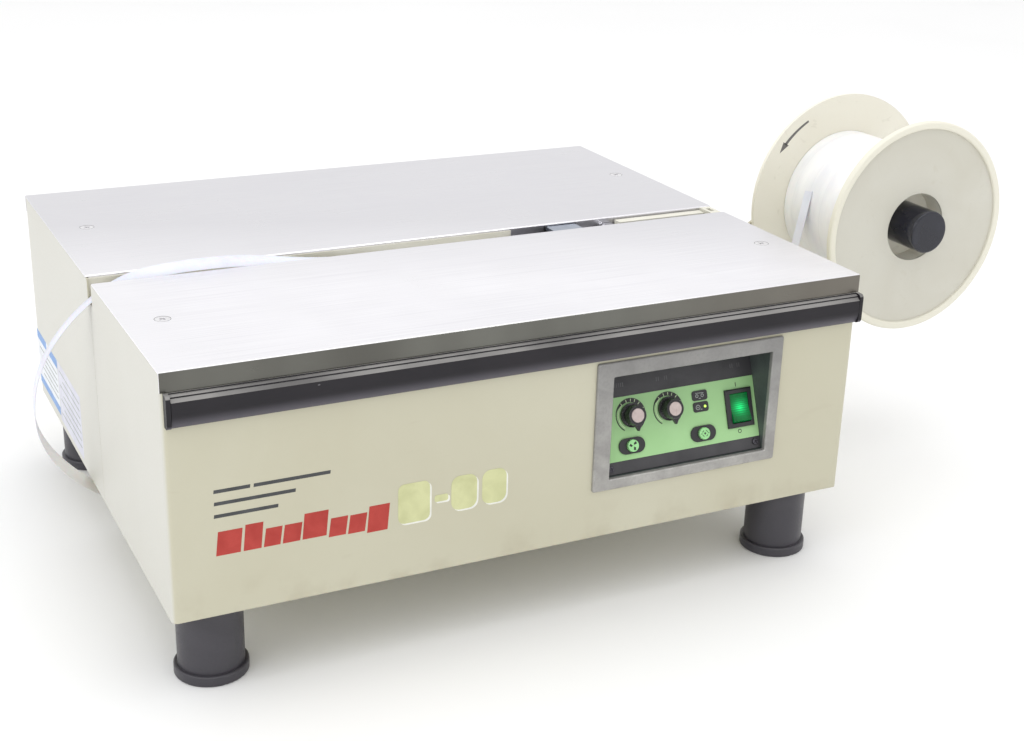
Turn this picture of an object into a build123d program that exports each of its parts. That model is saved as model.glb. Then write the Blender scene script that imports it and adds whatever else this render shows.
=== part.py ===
from build123d import *
import math
import os

os.makedirs("parts", exist_ok=True)

# ---------------------------------------------------------------------------
# Driving dimensions, millimetres.  X runs along the front, Y from front to
# rear, Z up from the floor.
# ---------------------------------------------------------------------------
CABINET_LENGTH = 680.0
CABINET_DEPTH = 565.0
CABINET_HEIGHT = 225.0
LEG_HEIGHT = 76.0

SHEET = 1.5                 # painted cover sheet
PLATE = 2.0                 # stainless top plates
PLATE_LIP = 17.5            # lip folded down at the front and the rear edge
SLOT_START = 239.0          # front face to the strap slot
SLOT_WIDTH = 25.0
SLOT_FLANGE = 18.0          # plate edge folded down beside the slot
SEAM_Y = 250.5              # joint between the front and the rear cover
CORNER_RADIUS = 5.0         # bend of the covers at the corners
PAN = 2.0                   # base pan sheet

BUMPER_PROUD = 9.0
BUMPER_TOP = 17.7           # below the table top
BUMPER_HEIGHT = 28.8
BUMPER_INSET = 2.5
BUMPER_CAP = 4.0
CAP_GAP = 0.2

LEG_RADIUS = 29.5
FOOT_RADIUS = 33.0
FOOT_HEIGHT = 10.0
LEG_X = (42.0, 638.0)
LEG_Y = (43.0, 522.0)

SCREW_X = (35.0, 650.0)     # countersunk screws that hold the top plates
SCREW_Y = (122.0, 420.0)

REEL_REACH = 221.0          # reel axis to the right face of the cabinet
REEL_DROP = 25.0            # reel axis below the table top
REEL_RADIUS = 123.0         # rear flange
REEL_FRONT_RADIUS = 119.5
REEL_FRONT = 181.0          # outer face of the front flange disc
REEL_BACK = 321.5           # outer face of the back flange disc
FLANGE = 2.5
FLANGE_RIM = 3.5            # height of the rim over the disc
RIM_WIDTH = 8.5
RIM_ROUND = 2.4
CORE_INNER = 38.5
CORE_OUTER = 41.0
COIL_RADIUS = 80.0
SPINDLE_RADIUS = 24.0
SPINDLE_FRONT = 157.0
SHAFT_RADIUS = 8.0
ARM_FRONT = 341.0           # front face of the bracket arm behind the reel
ARM = 4.0
NUT = 6.0

RUNNING = 0.05              # radial clearance of a shaft in its bearing

STRAP_WIDTH = 13.0
STRAP_THICKNESS = 0.7

CONTROL_X = (411.0, 584.0)  # opening of the control recess
CONTROL_Z = (-167.0, -65.0)
BEZEL_X = (394.0, 595.5)
BEZEL_Z = (-177.6, -50.5)
BEZEL_PROUD = 3.0
PANEL_TILT = 20.0           # control panel leans back from upright
INLET_PROUD = 2.0           # mains inlet flange and screw heads on the rear

# ---------------------------------------------------------------------------
# Frame: the origin is at the middle of the footprint, on the floor.
# ---------------------------------------------------------------------------
X_LEFT = -(CABINET_LENGTH + REEL_REACH + REEL_RADIUS) / 2
Y_FRONT = BUMPER_PROUD - (BUMPER_PROUD + CABINET_DEPTH + INLET_PROUD) / 2
TABLE_Z = LEG_HEIGHT + CABINET_HEIGHT

# Everything is placed from the front left corner of the table top.
TABLE = Plane(origin=(X_LEFT, Y_FRONT, TABLE_Z))

# Slope of the control panel, from the lower edge of the recess: X along the
# front, Y up the slope and Z out of the panel.
tilt = math.radians(PANEL_TILT)
PANEL = Plane(
    origin=(X_LEFT, Y_FRONT + 3.0, TABLE_Z + CONTROL_Z[0]),
    x_dir=(1, 0, 0),
    z_dir=(0, -math.cos(tilt), math.sin(tilt)),
)


def facing_front(y):
    """Upright plane across the cabinet, y behind its front face, looking forward."""
    return Plane(origin=(X_LEFT, Y_FRONT + y, TABLE_Z), x_dir=(1, 0, 0), z_dir=(0, -1, 0))


def facing_right(x):
    """Upright plane along the cabinet, x from its left face, looking to the right."""
    return Plane(origin=(X_LEFT + x, Y_FRONT, TABLE_Z), x_dir=(0, 1, 0), z_dir=(1, 0, 0))


def block(x, y, z, mode=Mode.ADD):
    """A box between the two ends given on each axis."""
    with Locations(((x[0] + x[1]) / 2, (y[0] + y[1]) / 2, (z[0] + z[1]) / 2)):
        Box(x[1] - x[0], y[1] - y[0], z[1] - z[0], mode=mode)


def rod_x(x, y, z, radius, mode=Mode.ADD):
    """A round bar along X."""
    with Locations(((x[0] + x[1]) / 2, y, z)):
        Cylinder(radius, x[1] - x[0], rotation=(0, 90, 0), mode=mode)


def rod_y(x, y, z, radius, mode=Mode.ADD):
    """A round bar along Y."""
    with Locations((x, (y[0] + y[1]) / 2, z)):
        Cylinder(radius, y[1] - y[0], rotation=(90, 0, 0), mode=mode)


def rod_z(x, y, z, radius, mode=Mode.ADD):
    """A round bar along Z."""
    with Locations((x, y, (z[0] + z[1]) / 2)):
        Cylinder(radius, z[1] - z[0], mode=mode)


# ---------------------------------------------------------------------------
# Cabinet
# ---------------------------------------------------------------------------
BOTTOM = -CABINET_HEIGHT
SIDE_TOP = -PLATE - 0.2
NOTCH_Y = (242.0, 259.0)
NOTCH_DEPTH = 23.0
ENTRY_Z = -185.0            # strap entry on the right side
ENTRY_Y = SLOT_START + SLOT_WIDTH / 2
PAN_HOLES = [(x, y) for x in LEG_X for y in LEG_Y]
COVER_SCREWS = [(x, y) for x in (100.0, 340.0, 580.0) for y in (12.0, 553.0)]

with BuildPart(TABLE) as base_pan:
    block((SHEET, CABINET_LENGTH - SHEET), (SHEET, CABINET_DEPTH - SHEET), (BOTTOM, BOTTOM + 22.0))
    block(
        (SHEET + PAN, CABINET_LENGTH - SHEET - PAN),
        (SHEET + PAN, CABINET_DEPTH - SHEET - PAN),
        (BOTTOM + PAN, BOTTOM + 23.0),
        Mode.SUBTRACT,
    )
    fillet(base_pan.edges().filter_by(Axis.Z).group_by(SortBy.LENGTH)[-1], CORNER_RADIUS - SHEET)
    with Locations(*[(x, y, BOTTOM + PAN) for x, y in PAN_HOLES]):
        with PolarLocations(21.0, 3):
            Hole(3.3, PAN)
    with Locations(*[(x, y, BOTTOM + PAN) for x, y in COVER_SCREWS]):
        Hole(2.3, PAN)
base_pan.part.label = "base_pan"
export_step(base_pan.part, "parts/base_pan.step")

with BuildPart() as front_cover:
    with BuildSketch(TABLE.offset(BOTTOM)):
        with Locations((CABINET_LENGTH / 2, SEAM_Y / 2)):
            outer = Rectangle(CABINET_LENGTH, SEAM_Y)
        fillet(outer.vertices().group_by(Axis.Y)[0], CORNER_RADIUS)
    extrude(amount=CABINET_HEIGHT + SIDE_TOP)
    with BuildSketch(TABLE.offset(BOTTOM)):
        with Locations((CABINET_LENGTH / 2, SHEET + SEAM_Y / 2)):
            inner = Rectangle(CABINET_LENGTH - 2 * SHEET, SEAM_Y)
        fillet(inner.vertices().group_by(Axis.Y)[0], CORNER_RADIUS - SHEET)
    extrude(amount=CABINET_HEIGHT, mode=Mode.SUBTRACT)
    with Locations(TABLE):
        # gap at the seam, room for the plate lip, the strap notch and the entry
        block((-1, CABINET_LENGTH + 1), (SEAM_Y - 0.2, SEAM_Y + 1), (BOTTOM - 1, 1), Mode.SUBTRACT)
        block((-1, CABINET_LENGTH + 1), (-1, PLATE + 0.4), (-PLATE_LIP - 0.3, 1), Mode.SUBTRACT)
        block((-1, SHEET + 1), (NOTCH_Y[0], SEAM_Y), (-NOTCH_DEPTH, 1), Mode.SUBTRACT)
        block(
            (CABINET_LENGTH - SHEET - 1, CABINET_LENGTH + 1),
            (ENTRY_Y - 14.0, SEAM_Y),
            (ENTRY_Z - 5.0, ENTRY_Z + 13.0),
            Mode.SUBTRACT,
        )
        # cut-out for the control recess
        block(
            (CONTROL_X[0] - 3.0, CONTROL_X[1] + 3.0),
            (-1, SHEET + 1),
            (CONTROL_Z[0] - 3.0, CONTROL_Z[1] + 3.0),
            Mode.SUBTRACT,
        )
front_cover.part.label = "front_cover"
export_step(front_cover.part, "parts/front_cover.step")

VENT_X = (120.0, 300.0)     # middles of the two groups of rear vents
INLET_X = 560.0
INLET_Z = -170.0

with BuildPart() as rear_cover:
    rear_depth = CABINET_DEPTH - SEAM_Y
    with BuildSketch(TABLE.offset(BOTTOM)):
        with Locations((CABINET_LENGTH / 2, SEAM_Y + rear_depth / 2)):
            outer = Rectangle(CABINET_LENGTH, rear_depth)
        fillet(outer.vertices().group_by(Axis.Y)[-1], CORNER_RADIUS)
    extrude(amount=CABINET_HEIGHT + SIDE_TOP)
    with BuildSketch(TABLE.offset(BOTTOM)):
        with Locations((CABINET_LENGTH / 2, SEAM_Y - SHEET + rear_depth / 2)):
            inner = Rectangle(CABINET_LENGTH - 2 * SHEET, rear_depth)
        fillet(inner.vertices().group_by(Axis.Y)[-1], CORNER_RADIUS - SHEET)
    extrude(amount=CABINET_HEIGHT, mode=Mode.SUBTRACT)
    with Locations(TABLE):
        block((-1, CABINET_LENGTH + 1), (SEAM_Y - 1, SEAM_Y + 0.2), (BOTTOM - 1, 1), Mode.SUBTRACT)
        block(
            (-1, CABINET_LENGTH + 1),
            (CABINET_DEPTH - PLATE - 0.4, CABINET_DEPTH + 1),
            (-PLATE_LIP - 0.3, 1),
            Mode.SUBTRACT,
        )
        block((-1, SHEET + 1), (SEAM_Y, NOTCH_Y[1]), (-NOTCH_DEPTH, 1), Mode.SUBTRACT)
        block(
            (CABINET_LENGTH - SHEET - 1, CABINET_LENGTH + 1),
            (SEAM_Y, ENTRY_Y + 14.0),
            (ENTRY_Z - 5.0, ENTRY_Z + 13.0),
            Mode.SUBTRACT,
        )
        # mains inlet
        block(
            (INLET_X - 14.0, INLET_X + 14.0),
            (CABINET_DEPTH - SHEET - 1, CABINET_DEPTH + 1),
            (INLET_Z - 10.2, INLET_Z + 10.2),
            Mode.SUBTRACT,
        )
    # cooling slots
    with BuildSketch(facing_front(CABINET_DEPTH + 1)):
        for middle in VENT_X:
            with Locations((middle, -110.0)):
                with GridLocations(0, 13.0, 1, 7):
                    SlotOverall(110.0, 5.0)
    extrude(amount=SHEET + 2, mode=Mode.SUBTRACT)
rear_cover.part.label = "rear_cover"
export_step(rear_cover.part, "parts/rear_cover.step")

SLOT_END = SLOT_START + SLOT_WIDTH
SLIDE_X = (476.2, 510.4)    # slide plate of the sealing head

with BuildPart(TABLE) as front_top_plate:
    block((0, CABINET_LENGTH), (0, SLOT_START), (-PLATE, 0))
    block((0, CABINET_LENGTH), (0, PLATE), (-PLATE_LIP, 0))
    block((3.0, CABINET_LENGTH - 3.0), (SLOT_START - PLATE, SLOT_START), (-SLOT_FLANGE, 0))
    bends = front_top_plate.edges().filter_by(Axis.X).group_by(Axis.Z)[-1]
    fillet(bends, 1.6)
    with Locations(*[(x, SCREW_Y[0], 0) for x in SCREW_X]):
        CounterSinkHole(3.4, 7.3, PLATE)
front_top_plate.part.label = "front_top_plate"
export_step(front_top_plate.part, "parts/front_top_plate.step")

with BuildPart(TABLE) as rear_top_plate:
    block((0, CABINET_LENGTH), (SLOT_END, CABINET_DEPTH), (-PLATE, 0))
    block((0, CABINET_LENGTH), (CABINET_DEPTH - PLATE, CABINET_DEPTH), (-PLATE_LIP, 0))
    block((3.0, CABINET_LENGTH - 3.0), (SLOT_END, SLOT_END + PLATE), (-SLOT_FLANGE, 0))
    bends = rear_top_plate.edges().filter_by(Axis.X).group_by(Axis.Z)[-1]
    fillet(bends, 1.6)
    # the slide plate and the heater pass under the rear plate here
    block(
        (SLIDE_X[0] - 2.0, SLIDE_X[1] + 2.0),
        (SLOT_END - 1, SLOT_END + PLATE + 1),
        (-SLOT_FLANGE - 1, -PLATE),
        Mode.SUBTRACT,
    )
    with Locations(*[(x, SCREW_Y[1], 0) for x in SCREW_X]):
        CounterSinkHole(3.4, 7.3, PLATE)
rear_top_plate.part.label = "rear_top_plate"
export_step(rear_top_plate.part, "parts/rear_top_plate.step")

SCREW_HEAD = 3.9
with BuildPart(TABLE) as top_screws:
    with Locations(*[(x, y, -0.1 - SCREW_HEAD / 2) for x in SCREW_X for y in SCREW_Y]):
        Cone(7.0 - SCREW_HEAD, 7.0, SCREW_HEAD)
    with Locations(*[(x, y, -9.0) for x in SCREW_X for y in SCREW_Y]):
        Cylinder(3.0, 14.0)
    for turn in (30.0, 120.0):
        with Locations(*[Location((x, y, -0.6), (0, 0, turn)) for x in SCREW_X for y in SCREW_Y]):
            Box(7.5, 1.5, 1.8, mode=Mode.SUBTRACT)
top_screws.part.label = "top_screws"
export_step(top_screws.part, "parts/top_screws.step")

# Folded steel frames that carry the top plates.  Each stands on the pan and
# has a notch under the strap slot.
FRAME_WALL = 2.5
FRAME_TOP = -4.4


def side_frame(web, top, foot):
    """A folded C frame: upright web, top flange under the plates, foot on the pan."""
    frame_y = (14.0, CABINET_DEPTH - 14.0)
    block((web, web + FRAME_WALL), frame_y, (BOTTOM + PAN, FRAME_TOP))
    block(top, frame_y, (FRAME_TOP - FRAME_WALL, FRAME_TOP))
    block(foot, frame_y, (BOTTOM + PAN, BOTTOM + PAN + FRAME_WALL))
    reach = (min(top[0], web) - 1, max(top[1], web + FRAME_WALL) + 1)
    block(reach, (SLOT_START - 6.0, SLOT_END + 6.0), (-34.0, 1), Mode.SUBTRACT)


with BuildPart(TABLE) as left_frame:
    side_frame(48.0, (14.0, 50.5), (14.0, 50.5))
    block((12, 52), (8, 82), (BOTTOM, BOTTOM + PAN + 12.0), Mode.SUBTRACT)
    block((12, 52), (484, 556), (BOTTOM, BOTTOM + PAN + 12.0), Mode.SUBTRACT)
    with Locations(*[(SCREW_X[0], y, FRAME_TOP) for y in SCREW_Y]):
        Hole(3.05, FRAME_WALL)
left_frame.part.label = "left_frame"
export_step(left_frame.part, "parts/left_frame.step")

# Feed unit: a driven roller and a pressure roller with the strap between them.
FEED_Z = -140.0
FEED_PLANE = 648.0
FEED_RADIUS = 14.0
PRESSURE_RADIUS = 11.0
ROLLER_GAP = 0.5
FEED_X = FEED_PLANE - ROLLER_GAP - FEED_RADIUS
PRESSURE_X = FEED_PLANE + ROLLER_GAP + PRESSURE_RADIUS
ROLLER_Y = (241.0, 262.0)
FEED_CHEEKS = (234.0, 265.0)
FEED_JOURNAL = 5.0
PRESSURE_JOURNAL = 4.0

with BuildPart(TABLE) as right_frame:
    side_frame(610.0, (610.0, 664.0), (610.0, 664.0))
    block((609, 666), (8, 82), (BOTTOM, BOTTOM + PAN + 12.0), Mode.SUBTRACT)
    block((609, 666), (484, 556), (BOTTOM, BOTTOM + PAN + 12.0), Mode.SUBTRACT)
    with Locations(*[(SCREW_X[1], y, FRAME_TOP) for y in SCREW_Y]):
        Hole(3.05, FRAME_WALL)
    # cheeks of the feed unit, with the bearings of both rollers
    for start in FEED_CHEEKS:
        block((612.0, 674.0), (start, start + 4.0), (FEED_Z - 24.0, FEED_Z + 24.0))
        rod_y(FEED_X, (start - 1, start + 5.0), FEED_Z, FEED_JOURNAL + RUNNING, Mode.SUBTRACT)
        rod_y(PRESSURE_X, (start - 1, start + 5.0), FEED_Z, PRESSURE_JOURNAL + RUNNING, Mode.SUBTRACT)
right_frame.part.label = "right_frame"
export_step(right_frame.part, "parts/right_frame.step")

with BuildPart() as bumper_rail:
    with BuildSketch(facing_right(BUMPER_INSET + BUMPER_CAP)):
        with BuildLine():
            low = -BUMPER_TOP - BUMPER_HEIGHT
            groove = -BUMPER_TOP - 3.4
            brow = (-BUMPER_PROUD + 0.4, groove - 2.4)
            cheek = (-BUMPER_PROUD, low + 12.0)
            Polyline((-4.4, low), (0, low), (0, -BUMPER_TOP), (-1.4, -BUMPER_TOP))
            # two sloping ridges with a groove above each, over a face rounded under
            Polyline((-1.4, -BUMPER_TOP), (-1.4, groove + 2.4), (-3.0, groove + 2.4), (-4.8, groove + 1.2))
            Polyline((-4.8, groove + 1.2), (-4.8, groove), (-5.6, groove), brow, cheek)
            TangentArc(cheek, (-4.4, low), tangent=(0, -1))
        make_face()
    extrude(amount=CABINET_LENGTH - 2 * BUMPER_CAP - BUMPER_INSET)
    # the end caps are pieces of their own, held off the rail by a hair gap
    for start in (BUMPER_INSET - CAP_GAP, CABINET_LENGTH - BUMPER_CAP + CAP_GAP):
        with BuildSketch(facing_right(start)):
            with Locations((-BUMPER_PROUD / 2, -BUMPER_TOP - BUMPER_HEIGHT / 2)):
                face = Rectangle(BUMPER_PROUD, BUMPER_HEIGHT)
            fillet(face.vertices().group_by(Axis.X)[0], 4.0)
        extrude(amount=BUMPER_CAP - CAP_GAP if start > 0 else BUMPER_CAP)
bumper_rail.part.label = "bumper_rail"
export_step(bumper_rail.part, "parts/bumper_rail.step")

# ---------------------------------------------------------------------------
# Legs
# ---------------------------------------------------------------------------
LEG_PLACES = {
    "front_left": (LEG_X[0], LEG_Y[0]),
    "front_right": (LEG_X[1], LEG_Y[0]),
    "rear_left": (LEG_X[0], LEG_Y[1]),
    "rear_right": (LEG_X[1], LEG_Y[1]),
}
FLOOR = -TABLE_Z
FOOT_PAD = 4.0
LEG_WALL = 3.0

for place, (x, y) in LEG_PLACES.items():
    with BuildPart(TABLE) as leg:
        rod_z(x, y, (FLOOR + FOOT_PAD, BOTTOM), LEG_RADIUS)
        rod_z(x, y, (FLOOR, BOTTOM - 5.0), LEG_RADIUS - LEG_WALL, Mode.SUBTRACT)
        with Locations((x, y, BOTTOM)):
            with PolarLocations(21.0, 3):
                Hole(3.05, 5.0)
    leg.part.label = f"leg_{place}"
    export_step(leg.part, f"parts/leg_{place}.step")

with BuildPart(TABLE) as foot_caps:
    for x, y in LEG_PLACES.values():
        rod_z(x, y, (FLOOR, FLOOR + FOOT_HEIGHT), FOOT_RADIUS)
    fillet(foot_caps.edges().filter_by(GeomType.CIRCLE), 1.6)
    for x, y in LEG_PLACES.values():
        rod_z(x, y, (FLOOR + FOOT_PAD, FLOOR + FOOT_HEIGHT + 1), LEG_RADIUS, Mode.SUBTRACT)
foot_caps.part.label = "foot_caps"
export_step(foot_caps.part, "parts/foot_caps.step")

# Bolts of the legs, on the pan, and screws of the covers, below it.
with BuildPart(TABLE) as base_fasteners:
    with Locations(*[(x, y, BOTTOM + PAN) for x, y in PAN_HOLES]):
        with PolarLocations(21.0, 3):
            Cylinder(5.5, 3.5, align=(Align.CENTER, Align.CENTER, Align.MIN))
            Cylinder(3.0, 7.0, align=(Align.CENTER, Align.CENTER, Align.MAX))
    with Locations(*[(x, y, BOTTOM) for x, y in COVER_SCREWS]):
        Cylinder(4.2, 2.6, align=(Align.CENTER, Align.CENTER, Align.MAX))
        Cylinder(2.2, 8.0, align=(Align.CENTER, Align.CENTER, Align.MIN))
base_fasteners.part.label = "base_fasteners"
export_step(base_fasteners.part, "parts/base_fasteners.step")

# ---------------------------------------------------------------------------
# Strap slot
# ---------------------------------------------------------------------------
TROUGH_END = 435.0
TROUGH_FLOOR = -22.0
SLOT_GAP = 0.25

with BuildPart(TABLE) as strap_trough:
    inside = (SLOT_START + SLOT_GAP + SHEET, SLOT_END - SLOT_GAP - SHEET)
    block(
        (SHEET + 0.3, TROUGH_END),
        (SLOT_START + SLOT_GAP, SLOT_END - SLOT_GAP),
        (TROUGH_FLOOR - SHEET, -2.5),
    )
    block((0, TROUGH_END + 1), inside, (TROUGH_FLOOR, 1), Mode.SUBTRACT)
strap_trough.part.label = "strap_trough"
export_step(strap_trough.part, "parts/strap_trough.step")

with BuildPart(TABLE) as guide_channel:
    block((572.0, 664.0), (SLOT_START + SLOT_GAP, SLOT_END - SLOT_GAP), (-27.0, -17.0))
    block((571.0, 642.0), (SLOT_START + 2.5, SLOT_END - 2.5), (-24.0, -16.0), Mode.SUBTRACT)
    block((641.0, 655.0), (SLOT_START + 2.5, SLOT_END - 2.5), (-28.0, -16.0), Mode.SUBTRACT)
    block((572.0, 664.0), (SLOT_START + SLOT_GAP, 244.5), (-17.0, -9.5))
    chamfer(guide_channel.edges().filter_by(Axis.X).group_by(Axis.Z)[-1], 0.8)
guide_channel.part.label = "guide_channel"
export_step(guide_channel.part, "parts/guide_channel.step")

# Lid over the strap guide, and the bridge that closes the slot at its right end.
LID_Y = (250.5, 261.5)
BRIDGE_X = (666.0, CABINET_LENGTH - SHEET - 0.3)
with BuildPart(TABLE) as slot_covers:
    block((558.0, 664.0), LID_Y, (-8.0, -3.0))
    block((660.0, 664.0), LID_Y, (-17.0, -3.0))
    block(BRIDGE_X, (SLOT_START + SLOT_GAP, SLOT_END - SLOT_GAP), (-14.0, -0.6))
    fillet(slot_covers.edges().filter_by(Axis.X).group_by(Axis.Z)[-1], 1.0)
    block((669.5, 674.5), (246.0, 257.0), (-15.0, 1.0), Mode.SUBTRACT)
slot_covers.part.label = "slot_covers"
export_step(slot_covers.part, "parts/slot_covers.step")

# ---------------------------------------------------------------------------
# Sealing head
# ---------------------------------------------------------------------------
CHEEK = 8.0
CHEEK_LEFT = 432.0
CHEEK_RIGHT = 562.0
HEAD_Y = SLOT_START + SLOT_WIDTH / 2
CAM_Z = -125.0
CAM_SHAFT = 9.0
CAM_RADIUS = 20.0
CAM_THROW = 5.0
PULLEY_X = (578.0, 596.0)
BELT_WIDTH = 10.0
GROOVE = 3.0
CAM_PULLEY = 52.0
FOLLOWER_FOOT = CAM_Z + CAM_RADIUS + CAM_THROW + 1.0
BLOCK_Z = (-62.0, -28.0)
GRIP_Y = (244.5, 258.5)
LEFT_GRIP_X = (443.0, 474.0)
PRESS_X = (481.0, 516.0)
PRESS_TIP = -22.5
RIGHT_GRIP_X = (522.0, 540.0)
LIFT_GAP = 0.3

with BuildPart(TABLE) as head_frame:
    for start in (CHEEK_LEFT, CHEEK_RIGHT):
        block((start, start + CHEEK), (200.0, 292.0), (BOTTOM + PAN, BLOCK_Z[1]))
        block((start - 1, start + CHEEK + 1), (226.0, 266.0), (-200.0, -160.0), Mode.SUBTRACT)
    block((CHEEK_LEFT + CHEEK, CHEEK_RIGHT), (SLOT_START, SLOT_END - 1.0), BLOCK_Z)
    rod_x((CHEEK_LEFT - 1, CHEEK_RIGHT + CHEEK + 1), HEAD_Y, CAM_Z, CAM_SHAFT + RUNNING, Mode.SUBTRACT)
    for width in (LEFT_GRIP_X, PRESS_X, RIGHT_GRIP_X):
        block(
            (width[0] - LIFT_GAP, width[1] + LIFT_GAP),
            (GRIP_Y[0] - LIFT_GAP, GRIP_Y[1] + LIFT_GAP),
            (BLOCK_Z[0] - 1, BLOCK_Z[1] + 1),
            Mode.SUBTRACT,
        )
    # strap guide and cutter edge at the right of the head
    block((543.0, 556.5), (SLOT_START + 0.6, SLOT_END - 0.6), (BLOCK_Z[1], -6.0))
    chamfer(head_frame.edges().filter_by(Axis.Y).group_by(Axis.Z)[-1], 2.0)
    block((542.0, 558.0), (245.0, 258.0), (-15.5, -13.5), Mode.SUBTRACT)
head_frame.part.label = "head_frame"
export_step(head_frame.part, "parts/head_frame.step")

with BuildPart(TABLE) as left_gripper:
    block(LEFT_GRIP_X, GRIP_Y, (FOLLOWER_FOOT, -14.0))
    block((441.0, 475.5), (241.5, 261.0), (-20.0, -11.0))
    chamfer(left_gripper.edges().filter_by(Axis.Y).group_by(Axis.Z)[-1], 1.5)
    with Locations((458.0, 251.5, -11.0)):
        with GridLocations(5.0, 0, 6, 1):
            Box(1.0, 14.0, 1.2, mode=Mode.SUBTRACT)
left_gripper.part.label = "left_gripper"
export_step(left_gripper.part, "parts/left_gripper.step")

with BuildPart(TABLE) as centre_press:
    # raised, its tip stays below the heater blade, which dips as it swings in
    block(PRESS_X, GRIP_Y, (FOLLOWER_FOOT, PRESS_TIP - 2.5))
    block((484.0, 513.0), (245.5, 257.5), (PRESS_TIP - 3.0, PRESS_TIP))
centre_press.part.label = "centre_press"
export_step(centre_press.part, "parts/centre_press.step")

with BuildPart(TABLE) as right_gripper:
    block(RIGHT_GRIP_X, GRIP_Y, (FOLLOWER_FOOT, -13.0))
    chamfer(right_gripper.edges().filter_by(Axis.Y).group_by(Axis.Z)[-1], 1.2)
    with Locations((531.0, 251.5, -13.0)):
        with GridLocations(4.0, 0, 4, 1):
            Box(1.0, 15.0, 1.2, mode=Mode.SUBTRACT)
right_gripper.part.label = "right_gripper"
export_step(right_gripper.part, "parts/right_gripper.step")

# Slide plate, the anvil over the press: it withdraws under the rear plate.
SLIDE_Z = (-6.0, -2.6)
with BuildPart(TABLE) as slide_plate:
    block(SLIDE_X, (241.0, 263.6), SLIDE_Z)
    chamfer(slide_plate.edges().filter_by(Axis.X).group_by(Axis.Z)[-1].sort_by(Axis.Y)[0], 1.0)
    block((487.0, 510.0), (262.0, 320.0), SLIDE_Z)
slide_plate.part.label = "slide_plate"
export_step(slide_plate.part, "parts/slide_plate.step")

# Heater: a blade on a lever that swings in between the press and the slide.
HEATER_PIVOT = (289.0, -190.0)
HEATER_LEAN = 4.4
HEATER_REACH = 180.0
with BuildPart() as heater_arm:
    lean = math.radians(HEATER_LEAN)
    foot = (HEATER_PIVOT[0], HEATER_PIVOT[1])
    head = (foot[0] + HEATER_REACH * math.sin(lean), foot[1] + HEATER_REACH * math.cos(lean))
    with BuildSketch(facing_right(492.0)):
        with BuildLine():
            Polyline(foot, (foot[0] + 0.93 * (head[0] - foot[0]), foot[1] + 0.93 * (head[1] - foot[1])))
            offset(amount=3.0, side=Side.BOTH)
        make_face()
        with Locations(foot):
            Circle(9.0)
            Circle(4.05, mode=Mode.SUBTRACT)
    extrude(amount=14.0)
    with Locations(TABLE):
        block((492.0, 506.0), (head[0] - 8.0, head[0] + 4.0), (head[1] - 16.0, head[1] + 0.6))
        block((488.0, 510.0), (head[0] - 33.0, head[0] - 6.0), (head[1] - 1.0, head[1] + 0.6))
heater_arm.part.label = "heater_arm"
export_step(heater_arm.part, "parts/heater_arm.step")

with BuildPart(TABLE) as slide_guide:
    block((478.0, 519.0), (316.0, 350.0), (-40.0, -2.2))
    block((486.7, 510.3), (315.0, 351.0), (-6.3, -2.0), Mode.SUBTRACT)
    block((478.0, 519.0), (346.0, 350.0), (BOTTOM + PAN, -40.0))
    block((478.0, 519.0), (330.0, 350.0), (BOTTOM + PAN, BOTTOM + PAN + 4.0))
    # fork and pin of the heater lever
    block((478.0, 519.0), (281.0, 331.0), (BOTTOM + PAN, BOTTOM + PAN + 4.0))
    rod_x((480.0, 518.0), HEATER_PIVOT[0], HEATER_PIVOT[1], 4.0)
    for start in (482.0, 510.0):
        block((start, start + 6.0), (281.0, 297.0), (BOTTOM + PAN, HEATER_PIVOT[1] + 8.0))
slide_guide.part.label = "slide_guide"
export_step(slide_guide.part, "parts/slide_guide.step")

def pulley(y, z, radius):
    """A grooved belt pulley about an axis along X."""
    rod_x(PULLEY_X, y, z, radius)
    middle = (PULLEY_X[0] + PULLEY_X[1]) / 2
    with BuildPart(mode=Mode.PRIVATE) as groove:
        with Locations((middle, y, z)):
            Cylinder(radius + 1, BELT_WIDTH + 1.0, rotation=(0, 90, 0))
            Cylinder(radius - GROOVE, BELT_WIDTH + 2.0, rotation=(0, 90, 0), mode=Mode.SUBTRACT)
    add(groove.part, mode=Mode.SUBTRACT)


# Cam shaft: one cam under each lifting piece, a third of a turn apart, and the
# driven pulley at its right end.
CAM_X = (458.5, 498.5, 531.0)
with BuildPart(TABLE) as cam_shaft:
    for index, middle in enumerate(CAM_X):
        angle = math.radians(210.0 + 120.0 * index)
        offset_y = CAM_THROW * math.cos(angle)
        offset_z = CAM_THROW * math.sin(angle)
        rod_x((middle - 6.0, middle + 6.0), HEAD_Y + offset_y, CAM_Z + offset_z, CAM_RADIUS)
    pulley(HEAD_Y, CAM_Z, CAM_PULLEY)
    rod_x((424.0, 604.0), HEAD_Y, CAM_Z, CAM_SHAFT)
cam_shaft.part.label = "cam_shaft"
export_step(cam_shaft.part, "parts/cam_shaft.step")

# ---------------------------------------------------------------------------
# Drive
# ---------------------------------------------------------------------------
MOTOR_Y = 432.0
MOTOR_Z = -150.0
MOTOR_RADIUS = 55.0
MOTOR_X = (392.0, 545.0)
MOTOR_SHAFT = 7.0
MOTOR_PULLEY = 23.0

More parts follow.
